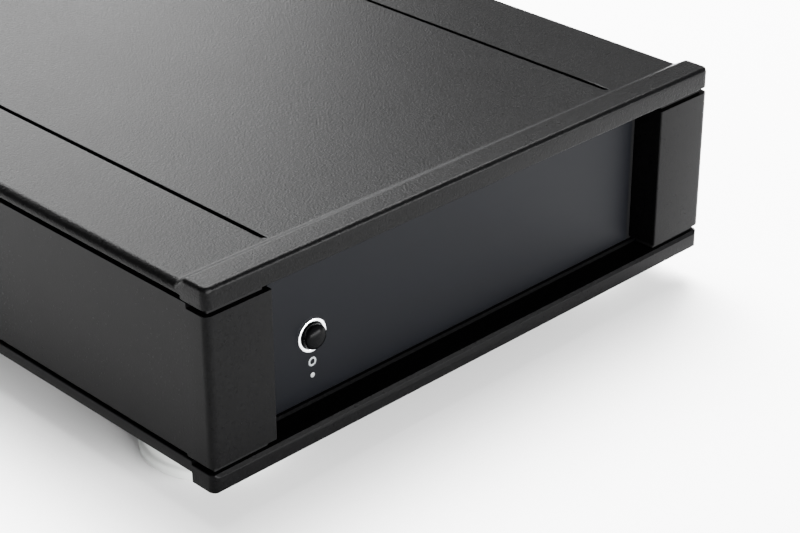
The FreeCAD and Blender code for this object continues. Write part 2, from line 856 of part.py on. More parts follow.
def make_button():
    """The domed cap with its guide and plunger, the bright ring round it, and what it presses."""
    body = new_body("power_button")
    place(body, "button_x", "0", "button_level")
    tip = "panel_depth - ring_proud - button_proud"
    cap_end = "panel_depth + panel_thick - button_travel"
    plunger_end = "switch_front + button_travel"
    section = [(tip, "0")]
    for step in range(1, DOME_STEPS):
        turn = math.pi / 2 * step / DOME_STEPS
        rise = f"{1 - math.cos(turn):.4f}"
        reach = f"{math.sin(turn):.4f}"
        section.append((f"{tip} + button_dome * {rise}", f"button_radius * {reach}"))
    section += [
        (f"{tip} + button_dome", "button_radius"),
        (cap_end, "button_radius"),
        (cap_end, "plunger_radius"),
        (plunger_end, "plunger_radius"),
        (plunger_end, "0"),
    ]
    revolve(body, section, "Y_Axis")
    ring = new_body("button_ring")
    place(ring, "button_x", "0", "button_level")
    front = "panel_depth - ring_proud"
    bore = "ring_radius - ring_wall"
    neck = "ring_radius - ring_wall / 2"
    section = [
        (front, bore),
        (front, "ring_radius - ring_proud / 2"),
        (f"{front} + ring_proud / 2", "ring_radius"),
        ("carrier_front", "ring_radius"),
        ("carrier_front", neck),
        ("carrier_back + ring_tail", neck),
        ("carrier_back + ring_tail", f"{bore} - ring_wall / 2"),
        ("carrier_back", f"{bore} - ring_wall / 2"),
        ("carrier_back", bore),
    ]
    revolve(ring, section, "Y_Axis")
    nut = cut(
        hex_rod("button_x", "carrier_back", "button_level", "ring_radius + ring_wall", "ring_tail", "y"),
        [rod("button_x", "carrier_back", "button_level", f"{neck} + slip", "ring_tail", "y")],
    )
    keep(nut, "button_ring_nut")
    half = "(switch_size / 2)"
    case = block(
        f"button_x - {half}", "switch_front", f"button_level - {half}",
        "switch_size", "switch_length", "switch_size",
    )
    well = rod(
        "button_x", "switch_front", "button_level", "plunger_radius + fit_gap",
        "2 * button_travel + fit_gap", "y",
    )
    keep(cut(case, [well]), "power_switch")
    mark = cut(
        rod("button_x", "panel_depth", "mark_z", "mark_radius", "mark_inlay", "y"),
        [rod("button_x", "panel_depth", "mark_z", "mark_radius - mark_line", "mark_inlay", "y")],
    )
    keep(mark, "power_mark")
    pipe_length = "board_front - led_length - panel_depth"
    pipe = rod("button_x", "panel_depth", "lamp_z", "lamp_radius", pipe_length, "y")
    keep(group([pipe]), "lamp_light_pipe")
    lamp = rod("button_x", "board_front - led_length", "lamp_z", "led_radius", "led_length", "y")
    keep(group([lamp]), "lamp_led")


def make_front_board():
    """The small board behind the carrier, its spacers and its screws."""
    board = block(
        "front_board_left", "board_front", "front_board_low",
        "front_board_width", "board_thick", "front_board_height",
    )
    holes = [
        rod(x, "board_front", z, "screw_radius + slip", "board_thick", "y")
        for x, z in front_board_spots()
    ]
    keep(cut(board, holes), "front_board")
    spacers = [
        cut(
            hex_rod(x, "carrier_back", z, "spacer_radius", "front_spacer", "y"),
            [rod(x, "carrier_back", z, "screw_radius + slip", "front_spacer", "y")],
        )
        for x, z in front_board_spots()
    ]
    shared["board_spacers"] += spacers
    shared["inner_screws"] += [
        screw(
            x, "board_back", z, "screw_radius", "screw_head", "screw_head_radius",
            "board_thick + front_spacer + carrier_thick", "y", flip=True,
        )
        for x, z in front_board_spots()
    ]


def make_feet():
    """Four round pads, each a turned cup with its screw's head inside."""
    for end, y in FOOT_YS.items():
        for side, x in FOOT_XS.items():
            foot = new_body(f"foot_{end}_{side}")
            place(foot, x, y, "0 - sill_lift")
            section = [
                ("foot_screw_radius + slip", "foot_seat"),
                ("foot_socket_radius", "foot_seat"),
                ("foot_socket_radius", "0"),
                ("foot_radius - foot_rim / 2", "0"),
                ("foot_radius", "foot_rim / 2"),
                ("foot_radius", "foot_rim"),
                ("foot_radius - foot_rim / 2", "foot_waist"),
                ("foot_top_radius", "base_drop + sill_lift"),
                ("foot_screw_radius + slip", "base_drop + sill_lift"),
            ]
            revolve(foot, section, "Z_Axis")
    screws = [
        screw(
            x, y, "foot_seat - sill_lift", "foot_screw_radius", "foot_screw_head",
            "foot_screw_head_radius", "base_top + sill_lift - foot_seat",
        )
        for x, y in FOOT_SPOTS
    ]
    keep(group(screws), "foot_screws")


def make_case_screws():
    """Long screws that clamp the three layers, the back plate's screws and the carrier's screws."""
    ties = [
        screw(
            x, y, "base_drop + screw_head", "screw_radius", "screw_head", "screw_head_radius",
            "lid_low + tie_grip - base_drop - screw_head - slip",
        )
        for x, y in TIE_SPOTS
    ]
    keep(group(ties), "case_tie_screws")
    shared["rear_screws"] += [
        screw(
            x, "case_depth", z, "screw_radius", "screw_head", "screw_head_radius",
            "rear_thick + screw_grip - slip", "y", flip=True,
        )
        for x, z in REAR_SCREW_SPOTS
    ]
    shared["inner_screws"] += [
        screw(
            x, "carrier_back + carrier_foot / 2", "base_top + carrier_thick", "screw_radius",
            "screw_head", "screw_head_radius", "carrier_thick + base_thick - slip", flip=True,
        )
        for x in CARRIER_SCREW_XS
    ]


def make_sockets():
    """Six phono sockets: shell with flange, coloured washer and core, contact tube and nut."""
    shells = []
    contacts = []
    nuts = []
    insulators = {"lower": [], "upper": []}
    shell_front = "case_depth + socket_washer"
    reach = "case_depth + socket_reach"
    for x in SOCKET_XS:
        for level, z in SOCKET_ZS.items():
            flange = rod(x, shell_front, z, "socket_flange_radius", "socket_flange", "y")
            barrel = rod(x, shell_front, z, "socket_radius", "socket_reach - socket_washer", "y")
            neck = rod(x, "case_depth - socket_tail", z, "socket_neck", "socket_tail + socket_washer", "y")
            bore = rod(x, "case_depth - socket_tail", z, "socket_bore", "socket_tail + socket_reach", "y")
            shells.append(cut(fuse([flange, barrel, neck]), [bore]))
            washer = tube(
                x, "case_depth", z, "socket_washer_radius", "socket_neck + slip", "socket_washer", "y"
            )
            core = tube(
                x, "case_depth - socket_tail", z, "socket_bore - slip", "contact_radius + slip",
                "socket_tail + socket_reach - core_setback", "y",
            )
            insulators[level] += [washer, core]
            contacts.append(
                tube(
                    x, "case_depth - socket_tail - core_setback", z, "contact_radius", "contact_bore",
                    "socket_tail + socket_reach - core_setback", "y",
                )
            )
            nuts.append(
                cut(
                    hex_rod(x, "wall_end - socket_nut", z, "socket_nut_radius", "socket_nut", "y"),
                    [rod(x, "wall_end - socket_nut", z, "socket_neck + slip", "socket_nut", "y")],
                )
            )
    keep(group(shells), "phono_socket_shells")
    keep(group(insulators["upper"]), "phono_socket_insulators_white")
    keep(group(insulators["lower"]), "phono_socket_insulators_red")
    keep(group(contacts), "phono_socket_contacts")
    shared["rear_nuts"] += nuts


def make_earth_post():
    """The earth terminal: a threaded stud with a collar, a loose washer and a knurled nut."""
    level = "selector_level"
    collar = rod("post_x", "case_depth", level, "post_collar_radius", "post_collar", "y")
    stud_length = "rear_thick + post_tail + post_reach"
    stud = rod("post_x", "wall_end - post_tail", level, "post_radius", stud_length, "y")
    keep(fuse([stud, collar]), "earth_post")
    nut = cut(
        hex_rod("post_x", "wall_end - post_nut", level, "post_nut_radius", "post_nut", "y"),
        [rod("post_x", "wall_end - post_nut", level, "post_radius + slip", "post_nut", "y")],
    )
    shared["rear_nuts"].append(nut)
    washer_front = "case_depth + post_collar + slip"
    bore = "post_radius + knob_clearance"
    washer = tube("post_x", washer_front, level, "post_washer_radius", bore, "post_washer", "y")
    keep(washer, "earth_washer")
    knob = new_body("earth_knob")
    place(knob, "post_x", f"{washer_front} + post_washer + slip", level)
    rings = [("0", "0", "knob_radius"), ("0", "0", "post_radius + knob_clearance")]
    pad(knob, circles(knob, "XZ_Plane", rings), "knob_length", backwards=True)
    half_angle = 180 / SIZES["knurl_count"]
    half_width = f"knob_radius * {math.sin(math.radians(half_angle)) * KNURL_SHARE:.4f}"
    notch = [
        ("0", "knob_radius - knurl_depth"),
        (half_width, "knob_radius + knurl_depth"),
        (f"0 - {half_width}", "knob_radius + knurl_depth"),
    ]
    groove = pocket(knob, outline(knob, "XZ_Plane", notch))
    pattern = knob.newObject("PartDesign::PolarPattern", "knurl")
    pattern.Originals = [groove]
    pattern.Axis = (plane_of(knob, "Y_Axis"), [""])
    pattern.Angle = 360
    pattern.setExpression("Occurrences", bound("knurl_count"))
    knob.Tip = pattern
    doc.recompute()


def make_setting_switches():
    """Two banks of setting switches on an upright board, with levers that slide up and down."""
    bodies = []
    for bank, z in enumerate(DIP_ZS, start=1):
        case = block(
            "dip_x - dip_width / 2", "setting_front", f"{z} - dip_height / 2",
            "dip_width", "dip_body", "dip_height",
        )
        slots = []
        for number in range(LEVERS):
            x = f"dip_x + ({number} - ({LEVERS} - 1) / 2) * dip_pitch"
            slot_height = "(dip_lever + dip_travel + 2 * dip_stop)"
            slots.append(
                block(
                    f"{x} - dip_slot_width / 2", "dip_front - dip_slot_depth", f"{z} - {slot_height} / 2",
                    "dip_slot_width", "dip_slot_depth", slot_height,
                )
            )
            lever = block(
                f"{x} - dip_lever / 2", "dip_front - dip_slot_depth + slip",
                f"{z} - dip_travel / 2 - dip_lever / 2", "dip_lever",
                "dip_slot_depth - slip + dip_lever_proud", "dip_lever",
            )
            keep(group([lever]), f"setting_lever_{bank}{number + 1}")
        bodies.append(cut(case, slots))
    keep(group(bodies), "setting_switch_bodies")
    board = block(
        "dip_x - setting_board_width / 2", "setting_front - board_thick",
        "selector_level - setting_board_height / 2",
        "setting_board_width", "board_thick", "setting_board_height",
    )
    reach = "wall_end - setting_front"
    holes = []
    for x, z in setting_screw_spots():
        holes.append(rod(x, "setting_front - board_thick", z, "screw_radius + slip", "board_thick", "y"))
        spacer = tube(x, "setting_front", z, "setting_spacer_radius", "screw_radius + slip", reach, "y")
        shared["board_spacers"].append(spacer)
        shared["rear_screws"].append(
            screw(
                x, "case_depth", z, "screw_radius", "screw_head", "screw_head_radius",
                f"rear_thick + {reach} + 2 * board_thick", "y", flip=True,
            )
        )
    keep(cut(board, holes), "setting_board")


def make_selector():
    """The slide switch that picks the cartridge type."""
    slot = "(selector_travel + selector_knob_width + 2 * fit_gap)"
    case = block(
        "selector_x - selector_width / 2", "wall_end - selector_length",
        "selector_level - selector_height / 2", "selector_width", "selector_length", "selector_height",
    )
    well = block(
        f"selector_x - {slot} / 2", "wall_end - selector_root",
        "selector_level - selector_knob_height / 2 - fit_gap",
        slot, "selector_root", "selector_knob_height + 2 * fit_gap",
    )
    keep(cut(case, [well]), "selector_switch")
    knob = block(
        "selector_x - (selector_travel + selector_knob_width) / 2", "wall_end - selector_root + slip",
        "selector_level - selector_knob_height / 2", "selector_knob_width",
        "selector_root - slip + rear_thick + selector_knob_proud", "selector_knob_height",
    )
    keep(group([knob]), "selector_knob")


def make_inlet():
    """The mains inlet with its flange, mouth, three blades and the fuse drawer under the mouth."""
    body = new_body("mains_inlet")
    place(body, "inlet_x", "0", "0")
    top = "inlet_low + inlet_height"
    back = [("0 - inlet_width / 2", "inlet_low", "inlet_width / 2", top)]
    pad(body, rectangles(body, "XZ_Plane", back, "0 - case_depth"), "inlet_length")
    margin = "inlet_flange_margin"
    side = "inlet_flange_width / 2"
    flange = [(f"0 - {side}", f"inlet_low - {margin}", side, f"{top} + {margin}")]
    pad(body, rectangles(body, "XZ_Plane", flange, "0 - inlet_face"), "inlet_flange")
    mouth_top = "mouth_low + inlet_mouth_height"
    half = "inlet_mouth_width / 2"
    mouth = [
        (f"0 - {half}", "mouth_low"),
        (half, "mouth_low"),
        (half, f"{mouth_top} - inlet_mouth_bevel"),
        (f"{half} - inlet_mouth_bevel", mouth_top),
        (f"inlet_mouth_bevel - {half}", mouth_top),
        (f"0 - {half}", f"{mouth_top} - inlet_mouth_bevel"),
    ]
    pocket(body, outline(body, "XZ_Plane", mouth, "0 - inlet_face"), "inlet_mouth_depth", along_normal=True)
    gap = "drawer_clearance"
    drawer = [
        (
            f"0 - drawer_width / 2 - {gap}", f"drawer_low - {gap}",
            f"drawer_width / 2 + {gap}", f"drawer_low + drawer_height + {gap}",
        )
    ]
    pocket(
        body, rectangles(body, "XZ_Plane", drawer, "0 - inlet_face"), f"drawer_length + {gap}",
        along_normal=True,
    )
    blade_spots = [
        ("0 - blade_pitch", "mouth_mid - blade_offset"),
        ("blade_pitch", "mouth_mid - blade_offset"),
        ("0", "mouth_mid + blade_offset"),
    ]
    slots = [
        (
            f"{x} - blade_width / 2", f"{z} - blade_height / 2",
            f"{x} + blade_width / 2", f"{z} + blade_height / 2",
        )
        for x, z in blade_spots
    ]
    pocket(body, rectangles(body, "XZ_Plane", slots))
    screw_holes = [(f"0 {sign} inlet_screw_pitch / 2", "mouth_mid", "screw_radius + slip") for sign in "-+"]
    pocket(body, circles(body, "XZ_Plane", screw_holes))
    blades = [
        block(
            f"inlet_x + ({x}) - blade_width / 2", "case_depth - inlet_length - blade_tail",
            f"{z} - blade_height / 2", "blade_width",
            "inlet_length + blade_tail + inlet_flange - blade_setback", "blade_height",
        )
        for x, z in blade_spots
    ]
    keep(group(blades), "mains_inlet_blades")
    for x, z in INLET_SCREW_SPOTS:
        shared["rear_screws"].append(
            screw(
                x, "inlet_face", z, "screw_radius", "screw_head", "screw_head_radius",
                "inlet_flange + rear_thick + screw_grip", "y", flip=True,
            )
        )
        shared["rear_nuts"].append(
            cut(
                hex_rod(x, "wall_end - post_nut", z, "post_nut_radius", "post_nut", "y"),
                [rod(x, "wall_end - post_nut", z, "screw_radius + slip", "post_nut", "y")],
            )
        )
    drawer_front = "inlet_face - drawer_length"
    tray = block(
        "inlet_x - drawer_width / 2", drawer_front, "drawer_low",
        "drawer_width", "drawer_length + drawer_lip", "drawer_height",
    )
    bed = block(
        "inlet_x - fuse_length / 2 + drawer_wall - fuse_clearance", f"{drawer_front} + drawer_wall",
        "drawer_low + drawer_wall", "fuse_length - 2 * drawer_wall + 2 * fuse_clearance",
        "2 * fuse_radius + 2 * fuse_clearance", "drawer_height",
    )
    keep(cut(tray, [bed]), "fuse_drawer")
    fuse_y = f"{drawer_front} + drawer_wall + fuse_clearance + fuse_radius"
    cartridge = rod(
        "inlet_x - fuse_length / 2 + drawer_wall", fuse_y,
        "drawer_low + drawer_wall + fuse_clearance + fuse_radius", "fuse_radius",
        "fuse_length - 2 * drawer_wall", "x",
    )
    keep(group([cartridge]), "fuse_cartridge")


def make_transformer():
    """The mains transformer: a ring between two pads, held by a dish, a bolt and a nut."""
    ring = new_body("mains_transformer")
    place(ring, "toroid_x", "toroid_y", "toroid_low")
    section = [
        ("toroid_bore", "0"),
        ("toroid_radius", "0"),
        ("toroid_radius", "toroid_height"),
        ("toroid_bore", "toroid_height"),
    ]
    revolve(ring, section, "Z_Axis")
    ease(ring, "Fillet", lambda edge: edge.BoundBox.ZLength < NEAR, "toroid_round")
    spot = ("toroid_x", "toroid_y")
    flat = "toroid_radius - toroid_round"
    pads = [
        tube(*spot, "base_top", flat, "toroid_bolt_radius + slip", "toroid_pad"),
        tube(*spot, "toroid_top", flat, "toroid_bolt_radius + slip", "toroid_pad"),
    ]
    keep(group(pads), "transformer_pads")
    dish_low = "toroid_top + toroid_pad"
    keep(tube(*spot, dish_low, flat, "toroid_bolt_radius + slip", "toroid_dish"), "transformer_dish")
    nut_low = f"{dish_low} + toroid_dish"
    bolt_length = f"{nut_low} + toroid_nut + toroid_bolt_spare - base_drop"
    bolt = screw(
        *spot, "base_drop", "toroid_bolt_radius", "foot_screw_head", "toroid_nut_radius", bolt_length
    )
    nut = cut(
        hex_rod(*spot, nut_low, "toroid_nut_radius", "toroid_nut"),
        [rod(*spot, nut_low, "toroid_bolt_radius + slip", "toroid_nut")],
    )
    keep(group([bolt, nut]), "transformer_bolt_and_nut")


def make_main_board():
    """The main board on its standoffs."""
    board = block(
        "main_left", "main_front", "main_low",
        "main_right - main_left", "main_rear - main_front", "board_thick",
    )
    holes = [rod(x, y, "main_low", "screw_radius + slip", "board_thick") for x, y in STANDOFF_SPOTS]
    keep(cut(board, holes), "main_board")
    shared["board_spacers"] += [
        cut(
            hex_rod(x, y, "base_top", "standoff_radius", "standoff"),
            [rod(x, y, "base_top", "screw_radius + slip", "standoff")],
        )
        for x, y in STANDOFF_SPOTS
    ]
    shared["inner_screws"] += [
        screw(
            x, y, "main_top", "screw_radius", "screw_head", "screw_head_radius",
            "board_thick + standoff + base_thick - slip", flip=True,
        )
        for x, y in STANDOFF_SPOTS
    ]


def row_of(count, x, y, pitch):
    """Evenly spaced spots to the right of the first."""
    return [(f"{x} + {number} * {pitch}", y) for number in range(count)]


def make_components():
    """What is soldered to the main board, from its left rear corner for signals and its front for power."""
    reservoirs = row_of(4, "main_left + reservoir_side", "main_front + reservoir_front", "reservoir_pitch")
    cans = [rod(x, y, "main_top", "reservoir_radius", "reservoir_height") for x, y in reservoirs]
    keep(group(cans), "reservoir_capacitors")
    rear = "main_rear - small_cap_rear"
    small = row_of(6, "main_left + small_cap_side", rear, "small_cap_pitch")
    small += row_of(6, "main_left + small_cap_side", f"{rear} - small_cap_row", "small_cap_pitch")
    cans = [rod(x, y, "main_top", "small_cap_radius", "small_cap_height") for x, y in small]
    keep(group(cans), "coupling_capacitors")
    films = row_of(7, "main_left + film_side", "main_rear - film_rear", "film_pitch")
    boxes = [middle_block(x, y, "main_top", "film_width", "film_length", "film_height") for x, y in films]
    keep(group(boxes), "film_capacitors")
    size_of_relay = ("relay_length", "relay_width", "relay_height")
    relays = row_of(3, "main_left + relay_side", "main_rear - relay_rear", "relay_pitch")
    boxes = [middle_block(x, y, "main_top", *size_of_relay) for x, y in relays]
    keep(group(boxes), "input_relays")
    chips = row_of(4, "main_left + chip_side", "main_rear - chip_rear", "chip_pitch")
    boxes = [middle_block(x, y, "main_top", "chip_length", "chip_width", "chip_height") for x, y in chips]
    rear = "main_rear - transistor_rear"
    devices = row_of(8, "main_left + transistor_side", rear, "transistor_pitch")
    boxes += [
        middle_block(x, y, "main_top", "transistor_width", "transistor_depth", "transistor_height")
        for x, y in devices
    ]
    sinks = []
    front = "main_front + heatsink_front"
    for x, y in row_of(2, "main_left + heatsink_side", front, "heatsink_pitch"):
        back = middle_block(x, y, "main_top", "heatsink_width", "heatsink_back", "heatsink_height")
        step = "(heatsink_width - fin_thick) / (fin_count - 1)"
        fins = [
            block(
                f"{x} - heatsink_width / 2 + {number} * {step}", f"{y} + heatsink_back / 2", "main_top",
                "fin_thick", "fin_length", "heatsink_height",
            )
            for number in range(int(SIZES["fin_count"]))
        ]
        sinks.append(fuse([back] + fins))
        boxes.append(
            middle_block(
                x, f"{y} - heatsink_back / 2 - regulator_thick / 2", "main_top",
                "regulator_width", "regulator_thick", "regulator_height",
            )
        )
    keep(group(sinks), "regulator_heatsinks")
    keep(group(boxes), "chips_and_transistors")


def make_wiring():
    """Board plugs, the flat ribbon to the front board, and the leads of inlet, transformer and sockets."""
    ribbon_x = "button_x"
    plug_low = "front_board_low + plug_height / 2"
    front_plug = block(
        f"{ribbon_x} - plug_width / 2", "board_back", plug_low, "plug_width", "plug_depth", "plug_height"
    )
    plug_front = "main_front + plug_setback"
    lead_x = "main_right - lead_plug_side"
    rear_plug, lead_plug = [
        block(f"{x} - plug_width / 2", plug_front, "main_top", "plug_width", "plug_depth", "plug_height")
        for x in (ribbon_x, lead_x)
    ]
    keep(group([front_plug, rear_plug, lead_plug]), "board_plugs")
    body = new_body("front_ribbon")
    place(body, ribbon_x, "0", "0")
    near = "board_back + plug_depth"
    far = plug_front
    low = "base_top + ribbon_lift"
    drop = "ribbon_reach"
    front_z = f"{plug_low} + plug_height / 2"
    rear_z = "main_top + plug_height / 2"
    path = [
        (near, front_z),
        (f"{near} + {drop}", front_z),
        (f"{near} + {drop}", low),
        (f"{far} - {drop}", low),
        (f"{far} - {drop}", rear_z),
        (far, rear_z),
        (far, f"{rear_z} + ribbon_thick"),
        (f"{far} - {drop} - ribbon_thick", f"{rear_z} + ribbon_thick"),
        (f"{far} - {drop} - ribbon_thick", f"{low} + ribbon_thick"),
        (f"{near} + {drop} + ribbon_thick", f"{low} + ribbon_thick"),
        (f"{near} + {drop} + ribbon_thick", f"{front_z} + ribbon_thick"),
        (near, f"{front_z} + ribbon_thick"),
    ]
    pad(body, outline(body, "YZ_Plane", path), "ribbon_width", both=True)
    leads = [mains_lead(f"(inlet_x {side} blade_pitch)", "mouth_mid - blade_offset") for side in "-+"]
    for x in (f"({lead_x} - lead_pitch)", f"({lead_x})", f"({lead_x} + lead_pitch)"):
        rim = toroid_rim(x)
        leads.append(rod(x, rim, rear_z, "lead_radius", f"{plug_front} - ({rim})", "y"))
    for x in SOCKET_XS:
        leads.append(signal_lead(x, SOCKET_ZS["lower"], "main_rear - signal_edge"))
        leads.append(signal_lead(x, SOCKET_ZS["upper"], "main_rear - signal_edge - signal_step"))
    keep(group(leads), "inner_leads")


def elbow(x, y, z, turn, bend, radius):
    """A quarter bend of a lead about a centre; the turn takes +X and +Y to its two ends."""
    item = doc.addObject("Part::Torus", "elbow")
    item.Placement = FreeCAD.Placement(FreeCAD.Vector(), turn)
    item.setExpression("Radius1", bound(bend))
    item.setExpression("Radius2", bound(radius))
    item.Angle3 = 90
    return place(item, x, y, z)


UP = FreeCAD.Vector(0, 0, 1)
BACK = FreeCAD.Vector(0, 1, 0)
RIGHT = FreeCAD.Vector(1, 0, 0)
# Bends that a lead takes on its way forward: from level to down, and from down to level
OVER = FreeCAD.Rotation(UP, -BACK, RIGHT, "XYZ")
UNDER = FreeCAD.Rotation(BACK, -UP, -RIGHT, "XYZ")


def toroid_rim(x):
    """Where a lead that runs forward at x meets the back of the transformer's side."""
    across = f"({x} - toroid_x)"
    return f"toroid_y + sqrt(toroid_radius * toroid_radius - {across} * {across}) + lead_radius"


def mains_lead(x, level):
    """A lead from a blade's tail, forward, down beside the board and along the base to the transformer."""
    first_y = "case_depth - inlet_length - blade_tail - lead_run"
    low = "base_top + lead_radius + ribbon_lift"
    down_y = f"{first_y} - lead_bend"
    last_y = f"{down_y} - lead_bend"
    rim = toroid_rim(x)
    return fuse(
        [
            rod(x, first_y, level, "lead_radius", "lead_run", "y"),
            elbow(x, first_y, f"{level} - lead_bend", OVER, "lead_bend", "lead_radius"),
            rod(x, down_y, f"{low} + lead_bend", "lead_radius", f"{level} - 2 * lead_bend - ({low})"),
            elbow(x, last_y, f"{low} + lead_bend", UNDER, "lead_bend", "lead_radius"),
            rod(x, rim, low, "lead_radius", f"{last_y} - ({rim})", "y"),
        ]
    )


def signal_lead(x, level, down_y):
    """A lead from a socket's contact, forward over the board's edge and down to the board."""
    first_y = f"{down_y} + signal_bend"
    run = f"case_depth - socket_tail - core_setback - ({first_y})"
    return fuse(
        [
            rod(x, first_y, level, "signal_radius", run, "y"),
            elbow(x, first_y, f"{level} - signal_bend", OVER, "signal_bend", "signal_radius"),
            rod(x, down_y, "main_top", "signal_radius", f"{level} - signal_bend - main_top"),
        ]
    )


make_base_plate()
make_side("left_side", -1)
make_side("right_side", 1)
make_top_cover()
make_rear_panel()
make_front_panel()
make_panel_carrier()
make_button()
make_front_board()
make_feet()
make_case_screws()
make_sockets()
make_earth_post()
make_setting_switches()
make_selector()
make_inlet()
make_transformer()
make_main_board()
make_components()
make_wiring()
for name, items in shared.items():
    keep(group(items), name)

doc.recompute()
for item in doc.Objects:
    if "Invalid" in item.State or "Error" in item.State:
        raise RuntimeError(f"{item.Label}: {item.State}")
for item in subparts:
    if item.Shape.isNull() or not item.Shape.isValid() or not item.Shape.Solids:
        raise RuntimeError(f"{item.Label}: bad shape")

os.makedirs("parts", exist_ok=True)
for item in subparts:
    item.Shape.exportStep(f"parts/{item.Label}.step")
    frame = item.Shape.BoundBox
    print(f"{item.Label}: {len(item.Shape.Solids)} solids, {item.Shape.Volume:.1f} mm3, z {frame.ZMin:.2f}")
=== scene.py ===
"""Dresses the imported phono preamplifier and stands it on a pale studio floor.

Lengths in the shape functions are millimetres in the part's own frame: +X to the right seen from the front,
+Y to the back, +Z up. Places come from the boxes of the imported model's nodes.
"""

import math
from collections import namedtuple

import bmesh
import bpy
import numpy as np
from mathutils import Matrix, Vector


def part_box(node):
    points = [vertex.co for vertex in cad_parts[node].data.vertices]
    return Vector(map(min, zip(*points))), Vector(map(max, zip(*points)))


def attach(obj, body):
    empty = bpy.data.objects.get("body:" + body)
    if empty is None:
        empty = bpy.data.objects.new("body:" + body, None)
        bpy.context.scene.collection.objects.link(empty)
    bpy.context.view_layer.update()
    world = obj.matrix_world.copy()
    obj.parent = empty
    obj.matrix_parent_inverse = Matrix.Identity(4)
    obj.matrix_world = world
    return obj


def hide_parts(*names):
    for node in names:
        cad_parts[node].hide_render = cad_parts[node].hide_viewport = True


bl_info = {
    "name": "Phono Preamplifier",
    "version": (1, 0, 0),
    "blender": (4, 5, 0),
    "location": "3D View > Sidebar > Preamplifier",
    "description": "Builds the outside and inside pieces of a half-width phono preamplifier",
    "category": "Object",
}

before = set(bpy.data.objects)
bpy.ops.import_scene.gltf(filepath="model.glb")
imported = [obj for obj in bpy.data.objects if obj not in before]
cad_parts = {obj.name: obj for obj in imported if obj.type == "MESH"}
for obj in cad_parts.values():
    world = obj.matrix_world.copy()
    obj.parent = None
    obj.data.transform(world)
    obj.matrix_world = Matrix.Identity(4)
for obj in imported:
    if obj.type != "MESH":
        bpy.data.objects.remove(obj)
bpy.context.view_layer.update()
MM = 0.001
AXES = {"x": (1, 2, 0), "y": (2, 0, 1), "z": (0, 1, 2)}
STEP = 0.05  # mm from front to back in which a plate's height changes
REAR_ROUND = 0.4  # mm, along the rear edges of lid and base
UNDER_ROUND = 0.6  # mm, along their lower front edges
LAPS = 34  # turns of tape round the transformer

Grid = namedtuple("Grid", "points ring")


def length(name, default, description):
    """A size that the user can change, in metres."""
    return bpy.props.FloatProperty(name=name, description=description, default=default, unit="LENGTH")


def colour(name, default, description):
    """A colour that the user can change."""
    return bpy.props.FloatVectorProperty(
        name=name, description=description, default=default, size=3, subtype="COLOR"
    )


class PreampSizes(bpy.types.PropertyGroup):
    """Sizes of the case's fine forms"""

    brow_flat: length("Brow flat", 0.0092, "Level stretch on top of the brow, front to back")
    brow_ramp: length("Brow ramp", 0.0038, "Length of the slope behind the brow")
    brow_rise: length("Brow rise", 0.0022, "Height of the brow above the lid")
    lip_drop: length("Lip drop", 0.0011, "How far the brow hangs below the lid's plate")
    lip_depth: length("Lip depth", 0.0107, "Front to back length of the brow's lower lip")
    corner_round: length("Corner round", 0.0026, "Radius of the upright front corners")
    lid_round: length("Lid round", 0.0028, "Radius along the lid's upper side edges")
    end_round: length("End round", 0.0014, "Radius along the upper edges of the brow's two ends")
    front_round: length("Front round", 0.0016, "Radius along the brow's upper front edge")
    ridge_round: length("Ridge round", 0.002, "Radius of the ridge at the back of the brow")
    groove_inset: length("Groove inset", 0.0344, "Middle of each groove from the case's side")
    groove_width: length("Groove width", 0.0015, "Width of the lid's two grooves")
    groove_depth: length("Groove depth", 0.0014, "Depth of the lid's two grooves")
    sill_depth: length("Sill depth", 0.0097, "Front to back length of the thick front sill")
    sill_bevel: length("Sill bevel", 0.0007, "Depth of the bevel along the sill's upper front edge")
    mark_line: length("Mark line", 0.0006, "Width of the ring mark's line")
    button_dome: length("Button dome", 0.0020, "Height of the button's dome")
    ring_wall: length("Ring wall", 0.00125, "Thickness of the ring round the button")
    fine_edge: length("Fine edge", 0.00015, "Softening of the side walls' machined edges")


class PreampColours(bpy.types.PropertyGroup):
    """Colours of the outside finishes"""

    coat: colour("Powder coat", (0.0008, 0.0008, 0.00085), "Textured coat of lid, sides and sill")
    panel: colour("Front panel", (0.0004, 0.00047, 0.00075), "Black acrylic front")
    foot: colour("Feet", (0.40, 0.412, 0.40), "Translucent rubber feet")
    mark: colour("Mark", (0.060, 0.066, 0.069), "Printed ring mark under the button")
    floor: colour("Floor", (0.95, 0.95, 0.95), "Pale studio floor")


def mm(name):
    """A size that the user can set, in millimetres."""
    return getattr(bpy.context.scene.preamp_sizes, name) / MM


def tint(name):
    """A colour that the user can set, with full alpha."""
    return (*getattr(bpy.context.scene.preamp_colours, name), 1.0)


def box(node):
    """Lowest and highest corner of a CAD node, in millimetres."""
    return [np.array(corner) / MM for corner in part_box(node)]


def middle_line(low, high, axis="y"):
    """The middle of a box, with 0 along the axis, and half the box's width."""
    centre = (low + high) / 2
    centre[AXES[axis][2]] = 0
    return centre, (high[0] - low[0]) / 2


def girth(node, axis="y"):
    """A CAD node's lowest and highest corner, its middle line along an axis, and half its width."""
    low, high = box(node)
    return low, high, *middle_line(low, high, axis)


